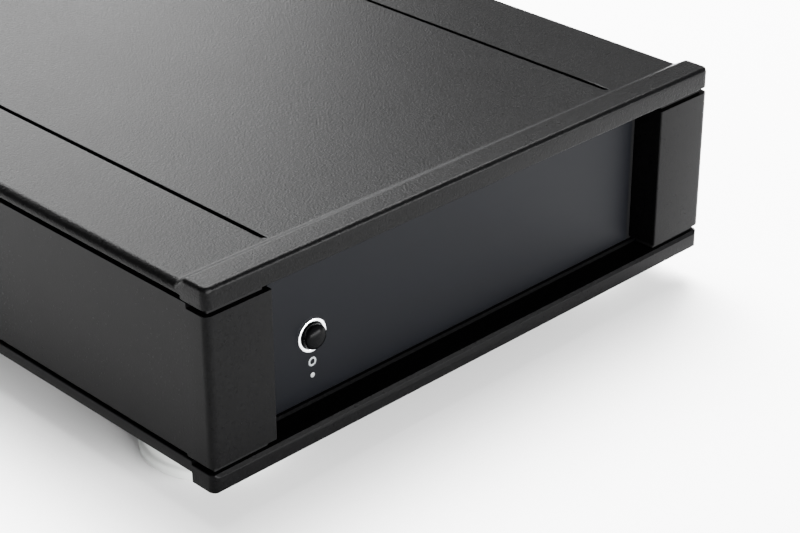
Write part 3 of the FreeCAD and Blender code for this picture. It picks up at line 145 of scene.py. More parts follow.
def solids(node):
    """Lowest and highest corner of each solid in a CAD node, in millimetres, from left to right.

    Triangles that share a corner point belong together: every point takes the least number among its
    triangles' points until nothing changes."""
    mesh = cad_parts[node].data
    spots = np.empty(len(mesh.vertices) * 3, np.float32)
    mesh.vertices.foreach_get("co", spots)
    spots = spots.reshape(-1, 3) / MM
    _, same = np.unique(np.round(spots, 3), axis=0, return_inverse=True)
    corners = np.empty(len(mesh.loops), np.int32)
    mesh.loops.foreach_get("vertex_index", corners)
    triangles = same.reshape(-1)[corners.reshape(-1, 3)]
    label = np.arange(triangles.max() + 1)
    while True:
        fresh = label.copy()
        np.minimum.at(fresh, triangles, label[triangles].min(axis=1, keepdims=True))
        fresh = fresh[fresh]
        if np.array_equal(fresh, label):
            break
        label = fresh
    owner = label[same.reshape(-1)]
    groups = [spots[owner == group] for group in np.unique(owner)]
    found = [(group.min(axis=0), group.max(axis=0)) for group in groups]
    return sorted(found, key=lambda pair: tuple(np.round(pair[0], 2)))


def fall(distance, radius):
    """How far a round edge has dropped at a distance in from it: r - sqrt(r^2 - (r - distance)^2)."""
    left = radius - np.clip(distance, 0, radius)
    return radius - np.sqrt(np.maximum(radius * radius - left * left, 0))


def quarter(radius, steps):
    """Distances in from a round edge at even angles: r (1 - cos t), for t over a quarter turn."""
    return radius * (1 - np.cos(np.linspace(0, math.pi / 2, steps)))


def soften(points, radii, steps=6):
    """A closed outline whose corners are curves q(s) = (1-s)^2 a + 2s(1-s) p + s^2 b, where a and b lie on
    the two sides at the corner's radius from the corner p."""
    points = np.asarray(points, float)
    radii = np.broadcast_to(np.asarray(radii, float), (len(points),))[:, None]
    before = np.roll(points, 1, axis=0) - points
    after = np.roll(points, -1, axis=0) - points
    start = points + before / np.maximum(np.linalg.norm(before, axis=1, keepdims=True), 1e-9) * radii
    end = points + after / np.maximum(np.linalg.norm(after, axis=1, keepdims=True), 1e-9) * radii
    s = np.linspace(0, 1, steps)[None, :, None]
    curve = (1 - s) ** 2 * start[:, None] + 2 * s * (1 - s) * points[:, None] + s**2 * end[:, None]
    return curve.reshape(-1, points.shape[1])


def along(outlines, levels, axis):
    """Puts outlines at their levels along an axis: S(u, v) = (outline_v(u), level(v))."""
    first, second, third = AXES[axis]
    outlines = np.asarray(outlines, float)
    levels = np.asarray(levels, float)
    points = np.empty((len(levels), outlines.shape[-2], 3))
    points[..., first] = outlines[..., 0]
    points[..., second] = outlines[..., 1]
    points[..., third] = levels[:, None]
    return Grid(points, False)


def pillow(low, high, radius, axis="z"):
    """A block with all its edges round: at each level a rounded rectangle is scaled about its middle to
    (half - fall(distance to the nearer end)) / half."""
    first, second, third = AXES[axis]
    almost_half = 0.49
    corners = np.array([low, high])
    radius = min(radius, *(almost_half * (corners[1] - corners[0])))
    bottom, top = corners[:, third]
    ends = quarter(radius, 5)
    levels = np.concatenate([bottom + ends, top - ends[::-1]])
    inset = fall(np.minimum(levels - bottom, top - levels), radius)[:, None, None]
    corners = corners[:, [first, second]]
    half = (corners[1] - corners[0]) / 2
    middle = (corners[1] + corners[0]) / 2
    outline = soften(half * [(-1, -1), (1, -1), (1, 1), (-1, 1)], radius)
    return along(middle + outline * (half - inset) / half, levels, axis)


def turned(profile, centre, axis="y", steps=64, ripple=None):
    """A turned piece: S(u, v) = centre + along(v) axis + (radius(v) + ripple(u, v)) (cos u, sin u).

    The profile holds pairs of radius and place along the axis, counted from the centre. One that starts
    off the axis is closed to a ring."""
    first, second, third = AXES[axis]
    radius, place = np.asarray(profile, float).T[:, :, None]
    ring = radius[0, 0] > 0
    angle = np.linspace(0, 2 * math.pi, steps, endpoint=False)[None, :]
    if ripple is not None:
        radius = radius + ripple(angle, place)
    points = np.empty((radius.shape[0], steps, 3))
    points[..., first] = centre[first] + radius * np.cos(angle)
    points[..., second] = centre[second] + radius * np.sin(angle)
    points[..., third] = centre[third] + place
    return Grid(points, ring)


def sleeve(outer, inner, low, high, edge, steps=4):
    """The closed profile of a tube with softened rims, as pairs of radius and place."""
    return soften([(inner, low), (outer, low), (outer, high), (inner, high)], edge, steps)


def layer(rows, top, bottom, half, corner, edge, grooves=()):
    """A plate of the case whose height and width change from front to back.

    Row v is a loop at depth y: over the top from left to right and back underneath. Its half width is
    half - fall(y, corner). The top is top(y) - fall(distance to the side, edge), less the grooves' depth
    from where they start, and the underside is bottom(y) + fall(distance to the side, a third of the edge).
    The edge is one radius, or one for each row. A groove has its middle, width, depth and start."""
    rim = 0.12
    slope = 0.05
    beside = 0.5
    rows = np.asarray(rows, float)[:, None]
    edge = np.broadcast_to(np.reshape(edge, (-1, 1)), rows.shape)
    wide = half - fall(rows, corner)
    upper = np.concatenate([quarter(1.0, 12) * edge, edge + rim], axis=1)
    lower = quarter(1.0, 4) * edge / 3
    fixed = np.array([])
    for middle, width, _, _ in grooves:
        steps = np.array([-beside, -rim, 0, slope])
        fixed = np.concatenate([fixed, middle - width / 2 + steps, middle + width / 2 - steps[::-1]])
    count = len(rows)
    inner = np.broadcast_to(np.sort(fixed), (count, len(fixed)))
    over = np.concatenate([upper - wide, inner, wide - upper[:, ::-1]], axis=1)
    height = top(rows) - fall(wide - np.abs(over), edge)
    for middle, width, depth, start in grooves:
        wall = [width / 2 - slope, width / 2, width / 2 + rim]
        into = np.interp(np.abs(over - middle), wall, [depth, rim, 0])
        height = height - into * (rows >= start)
    under = np.concatenate([wide - lower, lower[:, ::-1] - wide], axis=1)
    floor = bottom(rows) + fall(wide - np.abs(under), edge / 3)
    points = np.empty((count, over.shape[1] + under.shape[1], 3))
    points[..., 0] = np.concatenate([over, under], axis=1)
    points[..., 1] = rows
    points[..., 2] = np.concatenate([height, floor], axis=1)
    return Grid(points, False)


def faces_of(grid, start):
    """Quads over a grid whose loops are closed. A ring's last loop joins its first, and the ends of any
    other grid get one flat face each."""
    rows, columns = grid.points.shape[:2]
    down, across = np.meshgrid(
        np.arange(rows if grid.ring else rows - 1), np.arange(columns), indexing="ij"
    )
    here = down * columns
    below = (down + 1) % rows * columns
    beside = (across + 1) % columns
    corners = [here + across, here + beside, below + beside, below + across]
    faces = (start + np.stack(corners, axis=-1)).reshape(-1, 4).tolist()
    if not grid.ring:
        last = start + (rows - 1) * columns
        faces.append(list(range(start, start + columns))[::-1])
        faces.append(list(range(last, last + columns)))
    return faces


def make(name, grids, slot, replaces=(), body="case", finish=None, crease=34, edge=0.0):
    """A piece from closed grids, which rides on a body and has its slot's finish, or another one.

    Edges sharper than the crease in degrees stay sharp, and an edge in millimetres bevels them."""
    same_spot = 2e-7
    no_length = 1e-7
    grids = [grids] if isinstance(grids, Grid) else list(grids)
    faces = []
    start = 0
    for grid in grids:
        faces += faces_of(grid, start)
        start += grid.points.shape[0] * grid.points.shape[1]
    points = np.concatenate([grid.points.reshape(-1, 3) for grid in grids]) * MM
    mesh = bpy.data.meshes.new(name)
    mesh.from_pydata(points.tolist(), [], faces)
    sculpt = bmesh.new()
    sculpt.from_mesh(mesh)
    bmesh.ops.remove_doubles(sculpt, verts=sculpt.verts, dist=same_spot)
    bmesh.ops.dissolve_degenerate(sculpt, edges=sculpt.edges, dist=no_length)
    bmesh.ops.recalc_face_normals(sculpt, faces=sculpt.faces)
    sculpt.to_mesh(mesh)
    sculpt.free()
    mesh.shade_smooth()
    mesh.set_sharp_from_angle(angle=math.radians(crease))
    mesh.materials.append(finish_for(finish or slot))
    item = bpy.data.objects.new(name, mesh)
    bpy.context.scene.collection.objects.link(item)
    if edge:
        bevel = item.modifiers.new("soft_edges", "BEVEL")
        bevel.width = edge * MM
        bevel.segments = 2
        bevel.limit_method = "ANGLE"
        bevel.angle_limit = math.radians(40)
        bevel.use_clamp_overlap = False
        bevel.harden_normals = True
    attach(item, body)
    if replaces:
        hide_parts(*replaces)


def dress(nodes, finish):
    """Gives CAD nodes a finish."""
    for node in nodes:
        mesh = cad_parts[node].data
        mesh.materials.clear()
        mesh.materials.append(finish_for(finish))


def maths(operation, swapped=False):
    """A method that adds a Math node for two values, in the other order for a reflected form."""

    def method(wire, other):
        pair = (other, wire) if swapped else (wire, other)
        return wire.graph.add("ShaderNodeMath", {"operation": operation}, pair)

    return method


class Wire:
    """A shader socket. Sums, differences, products and comparisons of wires add Math nodes."""

    def __init__(self, graph, socket):
        self.graph = graph
        self.socket = socket

    __add__ = __radd__ = maths("ADD")
    __sub__ = maths("SUBTRACT")
    __rsub__ = maths("SUBTRACT", swapped=True)
    __mul__ = __rmul__ = maths("MULTIPLY")
    __gt__ = maths("GREATER_THAN")
    __lt__ = maths("LESS_THAN")

    def wave(self):
        """The sine of the value."""
        return self.graph.add("ShaderNodeMath", {"operation": "SINE"}, [self])


class Graph:
    """A material's node tree, on the object's own coordinates in metres."""

    def __init__(self, name):
        self.material = bpy.data.materials.new(name)
        self.material.use_nodes = True
        self.tree = self.material.node_tree
        self.tree.nodes.clear()
        self.place = self.add("ShaderNodeTexCoord", output="Object")

    def add(self, kind, settings=None, inputs=None, output=0):
        """Adds a node: its settings first, then the values or wires of its inputs, by order or by name."""
        node = self.tree.nodes.new(kind)
        for name, value in (settings or {}).items():
            setattr(node, name, value)
        pairs = inputs.items() if isinstance(inputs, dict) else enumerate(inputs or ())
        for key, value in pairs:
            if isinstance(value, Wire):
                self.tree.links.new(value.socket, node.inputs[key])
            else:
                node.inputs[key].default_value = value
        return Wire(self, node.outputs[output]) if node.outputs else None

    def noise(self, size, detail=2.0, roughness=0.5, stretch=(1, 1, 1)):
        """Smooth noise whose features are about a size in millimetres across."""
        place = self.place
        if stretch != (1, 1, 1):
            place = self.add("ShaderNodeMapping", None, {"Vector": place, "Scale": stretch})
        values = {"Vector": place, "Scale": 1 / (size * MM), "Detail": detail, "Roughness": roughness}
        return self.add("ShaderNodeTexNoise", {"noise_dimensions": "3D"}, values)

    def grains(self, size):
        """Distance from the nearest of scattered points, a size in millimetres apart."""
        values = {"Vector": self.place, "Scale": 1 / (size * MM)}
        return self.add("ShaderNodeTexVoronoi", {"feature": "F1"}, values)

    def spot(self, axis):
        """One of the object's coordinates, in millimetres."""
        parts = self.add("ShaderNodeSeparateXYZ", None, [self.place], axis.upper())
        return parts * (1 / MM)

    def mix(self, share, one, other):
        """A colour between two."""
        return self.add("ShaderNodeMix", {"data_type": "RGBA"}, {0: share, 6: one, 7: other}, 2)

    def limit(self, value, low=0.0, high=1.0):
        """A value kept between two numbers."""
        return self.add("ShaderNodeClamp", None, {"Value": value, "Min": low, "Max": high})

    def bump(self, height, depth, strength):
        """A normal from a height of 0 to 1, whose full depth is in millimetres."""
        values = {"Height": height, "Distance": depth * MM, "Strength": strength}
        return self.add("ShaderNodeBump", None, values)

    def finish(self, **values):
        """Ends the tree in one shader and returns the material."""
        named = {name.replace("_", " "): value for name, value in values.items()}
        shader = self.add("ShaderNodeBsdfPrincipled", None, named)
        self.add("ShaderNodeOutputMaterial", None, {"Surface": shader})
        return self.material


def shade(colour, factor):
    """A colour made lighter or darker."""
    return (*(min(part * factor, 1.0) for part in colour[:3]), 1.0)


def powder_coat(name="powder_coat", level=0.0205, depth=0.14):
    """Fine textured black powder coat, with a painted highlight on the grain's tops and painted shade in
    its
    hollows: the colour follows the height, which is 0.7 of smooth noise and 0.3 of round pebbles. The level
    is the shader's specular level, the depth in millimetres."""
    graph = Graph(name)
    grain = graph.noise(0.85, 3.0, 0.62)
    pebble = graph.limit((0.62 - graph.grains(0.75)) * 1.9)
    height = graph.limit(grain * 0.7 + pebble * 0.3)
    drift = graph.noise(38.0, 2.0)
    coat = tint("coat")
    # painted highlight and shade: the colour runs from dark in the grain's hollows to pale on its tops
    colour = graph.mix(graph.limit((height - 0.30) * 1.9), shade(coat, 0.62), shade(coat, 1.7))
    return graph.finish(
        Base_Color=colour,
        Roughness=graph.limit(0.32 + (grain - 0.5) * 0.26 + (drift - 0.5) * 0.05),
        Specular_IOR_Level=level,
        Normal=graph.bump(height, depth, 0.8),
    )


def satin_coat():
    """The same coat, laid smoother on the sides and the base."""
    return powder_coat("satin_coat", level=0.0180, depth=0.03)


def gloss_acrylic():
    """Black acrylic with a soft, slightly blue sheen, and the faintest haze and ripple."""
    graph = Graph("gloss_acrylic")
    haze = graph.noise(9.0, 3.0)
    swell = graph.noise(60.0, 1.0)
    return graph.finish(
        Base_Color=graph.mix(haze, shade(tint("panel"), 0.8), shade(tint("panel"), 1.2)),
        Roughness=graph.limit(0.38 + haze * 0.05),
        Specular_IOR_Level=0.027,
        Specular_Tint=(0.90, 0.93, 1.0, 1.0),
        Normal=graph.bump(swell, 0.004, 0.3),
    )


def plain_finish(
    name, colour, rough, metal=0.0, grain=0.8, depth=0.01, spread=0.12, stretch=(1, 1, 1), level=0.5
):
    """A finish with fine grain: the colour varies by a spread, the roughness by half of it, and the grain
    stands up by a depth in millimetres. The level is the shader's specular level."""
    graph = Graph(name)
    fine = graph.noise(grain, 3.0, 0.6, stretch)
    broad = graph.noise(grain * 18, 2.0)
    blend = graph.limit(fine * 0.6 + broad * 0.4)
    return graph.finish(
        Base_Color=graph.mix(blend, shade(colour, 1 - spread), shade(colour, 1 + spread)),
        Roughness=graph.limit(rough + (fine - 0.5) * spread + (broad - 0.5) * spread * 0.5, 0.02, 1.0),
        Metallic=metal,
        Specular_IOR_Level=level,
        Normal=graph.bump(fine, depth, 0.6),
    )


def mark_paint():
    """Pale printed paint."""
    return plain_finish("mark_paint", tint("mark"), rough=0.45, spread=0.06, grain=0.3, depth=0.004)


def solder_mask():
    """Green solder mask over copper tracks: a track is where the sine of a place bent by noise is high."""
    graph = Graph("solder_mask")
    bend = graph.noise(22.0, 0.0)
    run = (graph.spot("x") * 1.9 + bend * 9.0).wave()
    crossing = (graph.spot("y") * 1.3 + bend * 7.0).wave()
    track = graph.limit((run > 0.72) + (crossing > 0.80))
    grain = graph.noise(0.5, 2.0)
    return graph.finish(
        Base_Color=graph.mix(track, (0.004, 0.034, 0.012, 1), (0.012, 0.068, 0.024, 1)),
        Roughness=graph.limit(0.28 + grain * 0.14),
        Normal=graph.bump(graph.limit(track * 0.8 + grain * 0.2), 0.035, 0.7),
    )


def silicone():
    """Pale translucent silicone rubber, cloudy inside and with a soft sheen."""
    graph = Graph("silicone")
    cloud = graph.noise(7.0, 3.0)
    fine = graph.noise(0.6, 2.0)
    foot = tint("foot")
    return graph.finish(
        Base_Color=graph.mix(cloud, shade(foot, 0.93), shade(foot, 1.05)),
        Roughness=graph.limit(0.30 + fine * 0.14),
        Subsurface_Weight=0.35,
        Subsurface_Radius=(1.0, 1.0, 0.95),
        Subsurface_Scale=0.004,
        Normal=graph.bump(fine, 0.01, 0.4),
    )


def tape_wrap():
    """Polyester tape wound round the transformer: slanted overlaps, with a painted sheen along the ridge of
    each lap.
    """
    graph = Graph("tape_wrap")
    _, _, middle, _ = girth("mains_transformer", "z")
    values = {"Vector": graph.place, "Location": tuple(-MM * middle)}
    turn = graph.add("ShaderNodeMapping", {"vector_type": "POINT"}, values)
    angle = graph.add("ShaderNodeTexGradient", {"gradient_type": "RADIAL"}, {"Vector": turn}, "Fac")
    # each lap's ridge is raised in the bump and given a painted sheen in the colour
    lap_ridges_and_sheen = (angle * (2 * math.pi * LAPS)).wave()
    fine = graph.noise(1.5, 2.0)
    return graph.finish(
        Base_Color=graph.mix(graph.limit(lap_ridges_and_sheen), (0.030, 0.028, 0.012, 1), (0.060, 0.055, 0.022, 1)),
        Roughness=graph.limit(0.26 + fine * 0.18),
        Normal=graph.bump(graph.limit(lap_ridges_and_sheen * 0.5 + 0.5), 0.08, 0.7),
    )


def ribbon_jacket():
    """Grey flat cable: round cores side by side across the width, the first of them with a red stripe."""
    pitch = 1.27
    stripe_wide = 1.2
    graph = Graph("ribbon_jacket")
    low, _ = box("front_ribbon")
    across = graph.spot("x") - float(low[0])
    cores = (across * (2 * math.pi / pitch)).wave() * 0.5 + 0.5
    stripe = graph.limit(1 - (across > stripe_wide))
    return graph.finish(
        Base_Color=graph.mix(stripe, (0.15, 0.155, 0.16, 1), (0.18, 0.008, 0.008, 1)),
        Roughness=graph.limit(0.42 + cores * 0.10),
        Normal=graph.bump(cores, 0.25, 0.8),
    )


def clear_glass():
    """Clear thin glass with a slight green cast."""
    graph = Graph("clear_glass")
    film = graph.noise(3.0, 2.0)
    return graph.finish(
        Base_Color=graph.mix(film, (0.86, 0.92, 0.90, 1), (0.92, 0.96, 0.95, 1)),
        Roughness=graph.limit(0.03 + film * 0.04),
        Transmission_Weight=0.9,
        IOR=1.45,
    )


PLAIN = {
    "matt_black": dict(colour=(0.0024, 0.0024, 0.0025), rough=0.70, spread=0.25, grain=0.5, level=0.05),
    "button_black": dict(
        colour=(0.0008, 0.0008, 0.0009), rough=0.24, spread=0.08, grain=0.3, depth=0.002, level=0.012
    ),
    "bright_ring": dict(
        colour=(0.82, 0.83, 0.85), rough=0.16, metal=1.0, spread=0.05, grain=0.25, depth=0.002
    ),
    "steel": dict(colour=(0.34, 0.345, 0.35), rough=0.36, metal=1.0, spread=0.14, grain=1.2, depth=0.006),
    "black_steel": dict(colour=(0.012, 0.012, 0.013), rough=0.40, metal=0.9, spread=0.20, grain=0.6),
    "clear_lamp": dict(colour=(0.070, 0.073, 0.075), rough=0.34, spread=0.06, grain=0.4, depth=0.004),
    "gold_plate": dict(
        colour=(0.50, 0.32, 0.095), rough=0.20, metal=1.0, spread=0.08, grain=0.5, depth=0.003
    ),
    "white_plastic": dict(colour=(0.34, 0.34, 0.325), rough=0.42, spread=0.05, grain=0.6, level=0.2),
    "red_plastic": dict(colour=(0.20, 0.006, 0.005), rough=0.40, spread=0.08, grain=0.6, level=0.1),
    "black_plastic": dict(
        colour=(0.0035, 0.0035, 0.0037), rough=0.46, spread=0.18, grain=0.45, depth=0.012, level=0.04
    ),
    "switch_blue": dict(colour=(0.004, 0.024, 0.10), rough=0.38, spread=0.10, grain=0.5, level=0.1),
    "nickel": dict(colour=(0.42, 0.41, 0.38), rough=0.24, metal=1.0, spread=0.08, depth=0.004),
    "black_rubber": dict(colour=(0.006, 0.006, 0.006), rough=0.80, spread=0.22, grain=0.7, depth=0.02),
    "bare_aluminium": dict(
        colour=(0.46, 0.465, 0.47), rough=0.34, metal=1.0, spread=0.10, grain=0.5, stretch=(1, 1, 0.04)
    ),
    "lead_grey": dict(colour=(0.05, 0.05, 0.054), rough=0.44, spread=0.08),
    "capacitor_film": dict(colour=(0.004, 0.005, 0.012), rough=0.30, grain=1.5, depth=0.02),
}
SPECIAL = {
    "case_black": powder_coat,
    "side_black": satin_coat,
    "gloss_black": gloss_acrylic,
    "white_mark": mark_paint,
    "board_green": solder_mask,
    "pale_foot": silicone,
    "transformer_wrap": tape_wrap,
    "grey_ribbon": ribbon_jacket,
    "fuse_glass": clear_glass,
}


def finish_for(name):
    """The material of a finish, made once."""
    found = bpy.data.materials.get("finish_" + name)
    if found is None:
        found = SPECIAL[name]() if name in SPECIAL else plain_finish(name, **PLAIN[name])
        found.name = "finish_" + name
    return found


class PREAMP_OT_stage(bpy.types.Operator):
    """Pale floor, soft studio lights and the camera"""

    bl_idname = "preamp.stage"
    bl_label = "Stage"

    def execute(self, context):
        self.floor()
        self.camera(context)
        self.lights(context)
        return {"FINISHED"}

    def floor(self):
        """A square sheet z = 0, six metres wide, with a fine paper grain."""
        reach = 3000
        side = np.linspace(-reach, reach, 3)
        x, y = np.meshgrid(side, side)
        points = np.stack([x, y, np.zeros_like(x)], axis=-1).reshape(-1, 3) * MM
        faces = [(0, 1, 4, 3), (1, 2, 5, 4), (3, 4, 7, 6), (4, 5, 8, 7)]
        mesh = bpy.data.meshes.new("floor")
        mesh.from_pydata(points.tolist(), [], faces)
        graph = Graph("studio_floor")
        paper = graph.noise(2.5, 2.0)
        pale = tint("floor")
        mesh.materials.append(
            graph.finish(
                Base_Color=graph.mix(paper, shade(pale, 0.99), shade(pale, 1.01)),
                Roughness=graph.limit(0.60 + paper * 0.10),
                Specular_IOR_Level=0.2,
            )
        )
        item = bpy.data.objects.new("floor", mesh)
        bpy.context.scene.collection.objects.link(item)

    def camera(self, context):
        """The photograph's viewpoint: 28.3 degrees above the floor, 44.4 degrees round to the left."""
        place = Vector((-423.94, -562.20, 356.98)) * MM
        heading = math.radians(-44.433)
        height = math.radians(28.306)
        lean = math.radians(-0.145)
        data = bpy.data.cameras.new("camera")
        data.lens = 97.24
        data.sensor_width = 36.0
        data.clip_start = 0.02
        data.clip_end = 50.0
        item = bpy.data.objects.new("camera", data)
        turn = Matrix.Rotation(heading, 4, "Z")
        tilt = Matrix.Rotation(math.pi / 2 - height, 4, "X")
        roll = Matrix.Rotation(lean, 4, "Z")
        item.matrix_world = Matrix.Translation(place) @ turn @ tilt @ roll
        context.scene.collection.objects.link(item)
        context.scene.camera = item

    def lights(self, context):
        """A dim white surround, a panel overhead, two behind the case, and a long low one before it."""
        world = bpy.data.worlds.new("surround")
        world.use_nodes = True
        sky = world.node_tree.nodes["Background"]
        sky.inputs["Color"].default_value = (1, 1, 1, 1)
        sky.inputs["Strength"].default_value = 0.7
        context.scene.world = world
        for name, place, aim, wide, tall, power in (
            ("overhead", (500, 500, 1500), (0, 0, 0), 1200, 1200, 324.0),
            ("rear", (290, 1300, 760), (0, 0, 60), 1350, 500, 25.0),
            ("rear_right", (700, 1250, 540), (0, 0, 60), 800, 640, 16.0),
            ("front", (200, -1500, 185), (0, 0, 60), 2000, 330, 215.0),
        ):
            data = bpy.data.lights.new(name, "AREA")
            data.shape = "RECTANGLE"
            data.size = wide * MM
            data.size_y = tall * MM
            data.energy = power
            item = bpy.data.objects.new(name, data)
            item.location = Vector(place) * MM
            item.rotation_euler = (Vector(aim) - Vector(place)).to_track_quat("-Z", "Y").to_euler()
            context.scene.collection.objects.link(item)


class PREAMP_OT_lid(bpy.types.Operator):
    """Top layer with its brow and two long grooves"""

    bl_idname = "preamp.lid"
    bl_label = "Lid"

    def execute(self, context):
        foot_round = 3.0
        behind_ramp = 1.4
        low, high = box("top_cover")
        front = low[1]
        depth = high[1] - front
        back = mm("brow_flat") + mm("brow_ramp")
        flat = high[2] - mm("brow_rise")
        bend = math.tan(math.atan2(mm("brow_rise"), mm("brow_ramp")) / 2)
        # The line over the lid from front to back, without the two corners that only close it below.
        crest = soften(
            [(0, 0), (0, high[2]), (mm("brow_flat"), high[2]), (back, flat), (depth, flat), (depth, 0)],
            [0, 0, mm("ridge_round") * bend, foot_round * bend, 0, 0],
        )[7:-6]
        start = back + behind_ramp
        rows = np.concatenate([
            quarter(mm("corner_round"), 12),
            crest[(crest[:, 0] > mm("corner_round")) & (crest[:, 0] < depth - 1), 0],
            [mm("lip_depth"), mm("lip_depth") + STEP, start - STEP, start, start + 4],
            np.linspace(start + 12, depth - 4, 10),
            depth - quarter(REAR_ROUND, 3)[::-1],
        ])
        rows = np.unique(np.round(rows, 4))
        edge = np.interp(rows, [mm("brow_flat"), back], [mm("end_round"), mm("lid_round")])

        def top(y):
            crown = np.interp(y, crest[:, 0], crest[:, 1])
            return crown - fall(y, mm("front_round")) - fall(depth - y, REAR_ROUND)

        def bottom(y):
            plate = low[2] + mm("lip_drop") * (y > mm("lip_depth") + STEP / 2)
            return plate + fall(y, UNDER_ROUND) + fall(depth - y, REAR_ROUND)

        middle = high[0] - mm("groove_inset")
        grooves = [(side * middle, mm("groove_width"), mm("groove_depth"), start) for side in (-1, 1)]
        grid = layer(rows, top, bottom, high[0], mm("corner_round"), edge, grooves)
        grid.points[..., 1] += front
        make("lid", grid, "case_black", ["top_cover"])
        return {"FINISHED"}


class PREAMP_OT_base(bpy.types.Operator):
    """Bottom layer, which ends in the bevelled sill"""

    bl_idname = "preamp.base"
    bl_label = "Base"

    def execute(self, context):
        bevel_slope = 1.6
        side_round = 0.5
        low, high = box("base_plate")
        front = low[1]
        depth = high[1] - front
        sill = mm("sill_depth")
        sill_top = box("left_side")[0][2]
        plate_low = box("foot_front_left")[1][2]
        rows = np.concatenate([
            quarter(mm("corner_round"), 12), [mm("sill_bevel"), 5, sill, sill + STEP],
            np.linspace(20, depth - 4, 8), depth - quarter(REAR_ROUND, 3)[::-1],
        ])
        rows = np.unique(np.round(rows, 4))

        def top(y):
            level = np.where(y < sill + STEP / 2, sill_top, high[2])
            bevel = bevel_slope * np.clip(mm("sill_bevel") - y, 0, None)
            return level - bevel - fall(depth - y, REAR_ROUND)

        def bottom(y):
            level = np.where(y < sill + STEP / 2, low[2], plate_low)
            return level + fall(y, UNDER_ROUND) + fall(depth - y, REAR_ROUND)

        grid = layer(rows, top, bottom, high[0], mm("corner_round"), side_round)
        grid.points[..., 1] += front
        make("base", grid, "case_black", ["base_plate"], finish="side_black")
        return {"FINISHED"}


class PREAMP_OT_sides(bpy.types.Operator):
    """Side walls that turn round the front corners as pillars, and the dark cores behind their gaps"""

    bl_idname = "preamp.sides"
    bl_label = "Sides"

    pillar_deep = 11
    pillar_tall = 49
    wall_thick = 8
    ledge = 0.4
    below_pillar = 2.15
    below_wall = 1.6
    inner_round = 0.6
    core_inset = 2

    def execute(self, context):
        for name, side in (("left_side", -1), ("right_side", 1)):
            self.wall(name, side)
            self.core(name, side)
        return {"FINISHED"}

    def wall(self, name, side):
        """Levels of a plan outline: only the pillar, then pillar and wall, then only the wall. The
        outline's corners move to their next place at each step, so the steps are flat."""
        low, high = box(name)
        outer = box("top_cover")[1][0]
        inner = min(abs(low[0]), abs(high[0]))
        front = low[1]
        rear = high[1]
        wall = outer - self.wall_thick
        back = front + self.pillar_deep
        step = back + self.ledge
        shoulder = back - mm("corner_round")
        foot = low[2] + self.below_pillar
        wall_foot = box("base_plate")[1][2] + self.below_wall
        pillar_top = foot + self.pillar_tall
        wall_top = box("top_cover")[0][2]
        fore = [(outer, front), (inner, front), (inner, back), (wall, back), (wall, step)]
        pillar = fore + [(wall, step), (outer, step), (outer, step), (outer, shoulder)]
        both = fore + [(wall, rear), (outer, rear), (outer, step), (outer, shoulder)]
        upper = [(outer, shoulder), (wall, shoulder), (wall, shoulder)] + both[3:]
        rounds = [mm("corner_round"), self.inner_round, 0, 0, 0, 0, 0, 0, 0]
        stages = [
            (foot, pillar, rounds), (wall_foot, pillar, rounds), (wall_foot, both, rounds),
            (pillar_top, both, rounds), (pillar_top, upper, 0), (wall_top, upper, 0),
        ]
        outlines = np.array([soften(points, radii, 8) for _, points, radii in stages])
        outlines[..., 0] *= side
        grid = along(outlines, [level for level, _, _ in stages], "z")
        make(name + "_shell", grid, "case_black", [name], finish="side_black", edge=mm("fine_edge"))

    def core(self, name, side):
        """Two dark blocks, set back from the face, which close the gaps over and under a side."""
        low, high = box(name)
        cover_low, cover_high = box("top_cover")
        outer = cover_high[0] - self.core_inset
        front = low[1] + self.core_inset
        back = low[1] + self.pillar_deep
        pillar_core = ((outer - 20, outer), (front, back - 1.4), low[2], cover_low[2])
        wall_core = ((outer - 6, outer), (back + STEP, high[1]), box("base_plate")[1][2], high[2])
        grids = []
        for x, y, bottom, top in (pillar_core, wall_core):
            xs = sorted([side * x[0], side * x[1]])
            grids.append(pillow((xs[0], y[0], bottom), (xs[1], y[1], top), 0.2))
        make(name + "_core", grids, "matt_black")


class PREAMP_OT_front(bpy.types.Operator):
    """Gloss panel, the carrier behind it, the ring mark and the lamp"""

    bl_idname = "preamp.front"
    bl_label = "Front"

    def execute(self, context):
        proud = 0.03
        crown = 0.12
        dress(["front_panel"], "gloss_black")
        dress(["panel_carrier"], "matt_black")
        dress(["lamp_led"], "clear_lamp")
        low, high, centre, outer = girth("power_mark")
        face = low[1] - proud
        profile = sleeve(outer, outer - mm("mark_line"), face, high[1], 0.04, 3)
        make("mark", turned(profile, centre, steps=72), "white_mark", ["power_mark"])
        low, high, centre, radius = girth("lamp_light_pipe")
        lens = np.linspace(0, math.pi / 2, 6)
        profile = [(radius * math.sin(t), low[1] - crown * math.cos(t)) for t in lens]
        profile += [(radius, high[1]), (0, high[1])]
        make("lamp", turned(profile, centre, steps=48), "clear_lamp", ["lamp_light_pipe"])
        return {"FINISHED"}


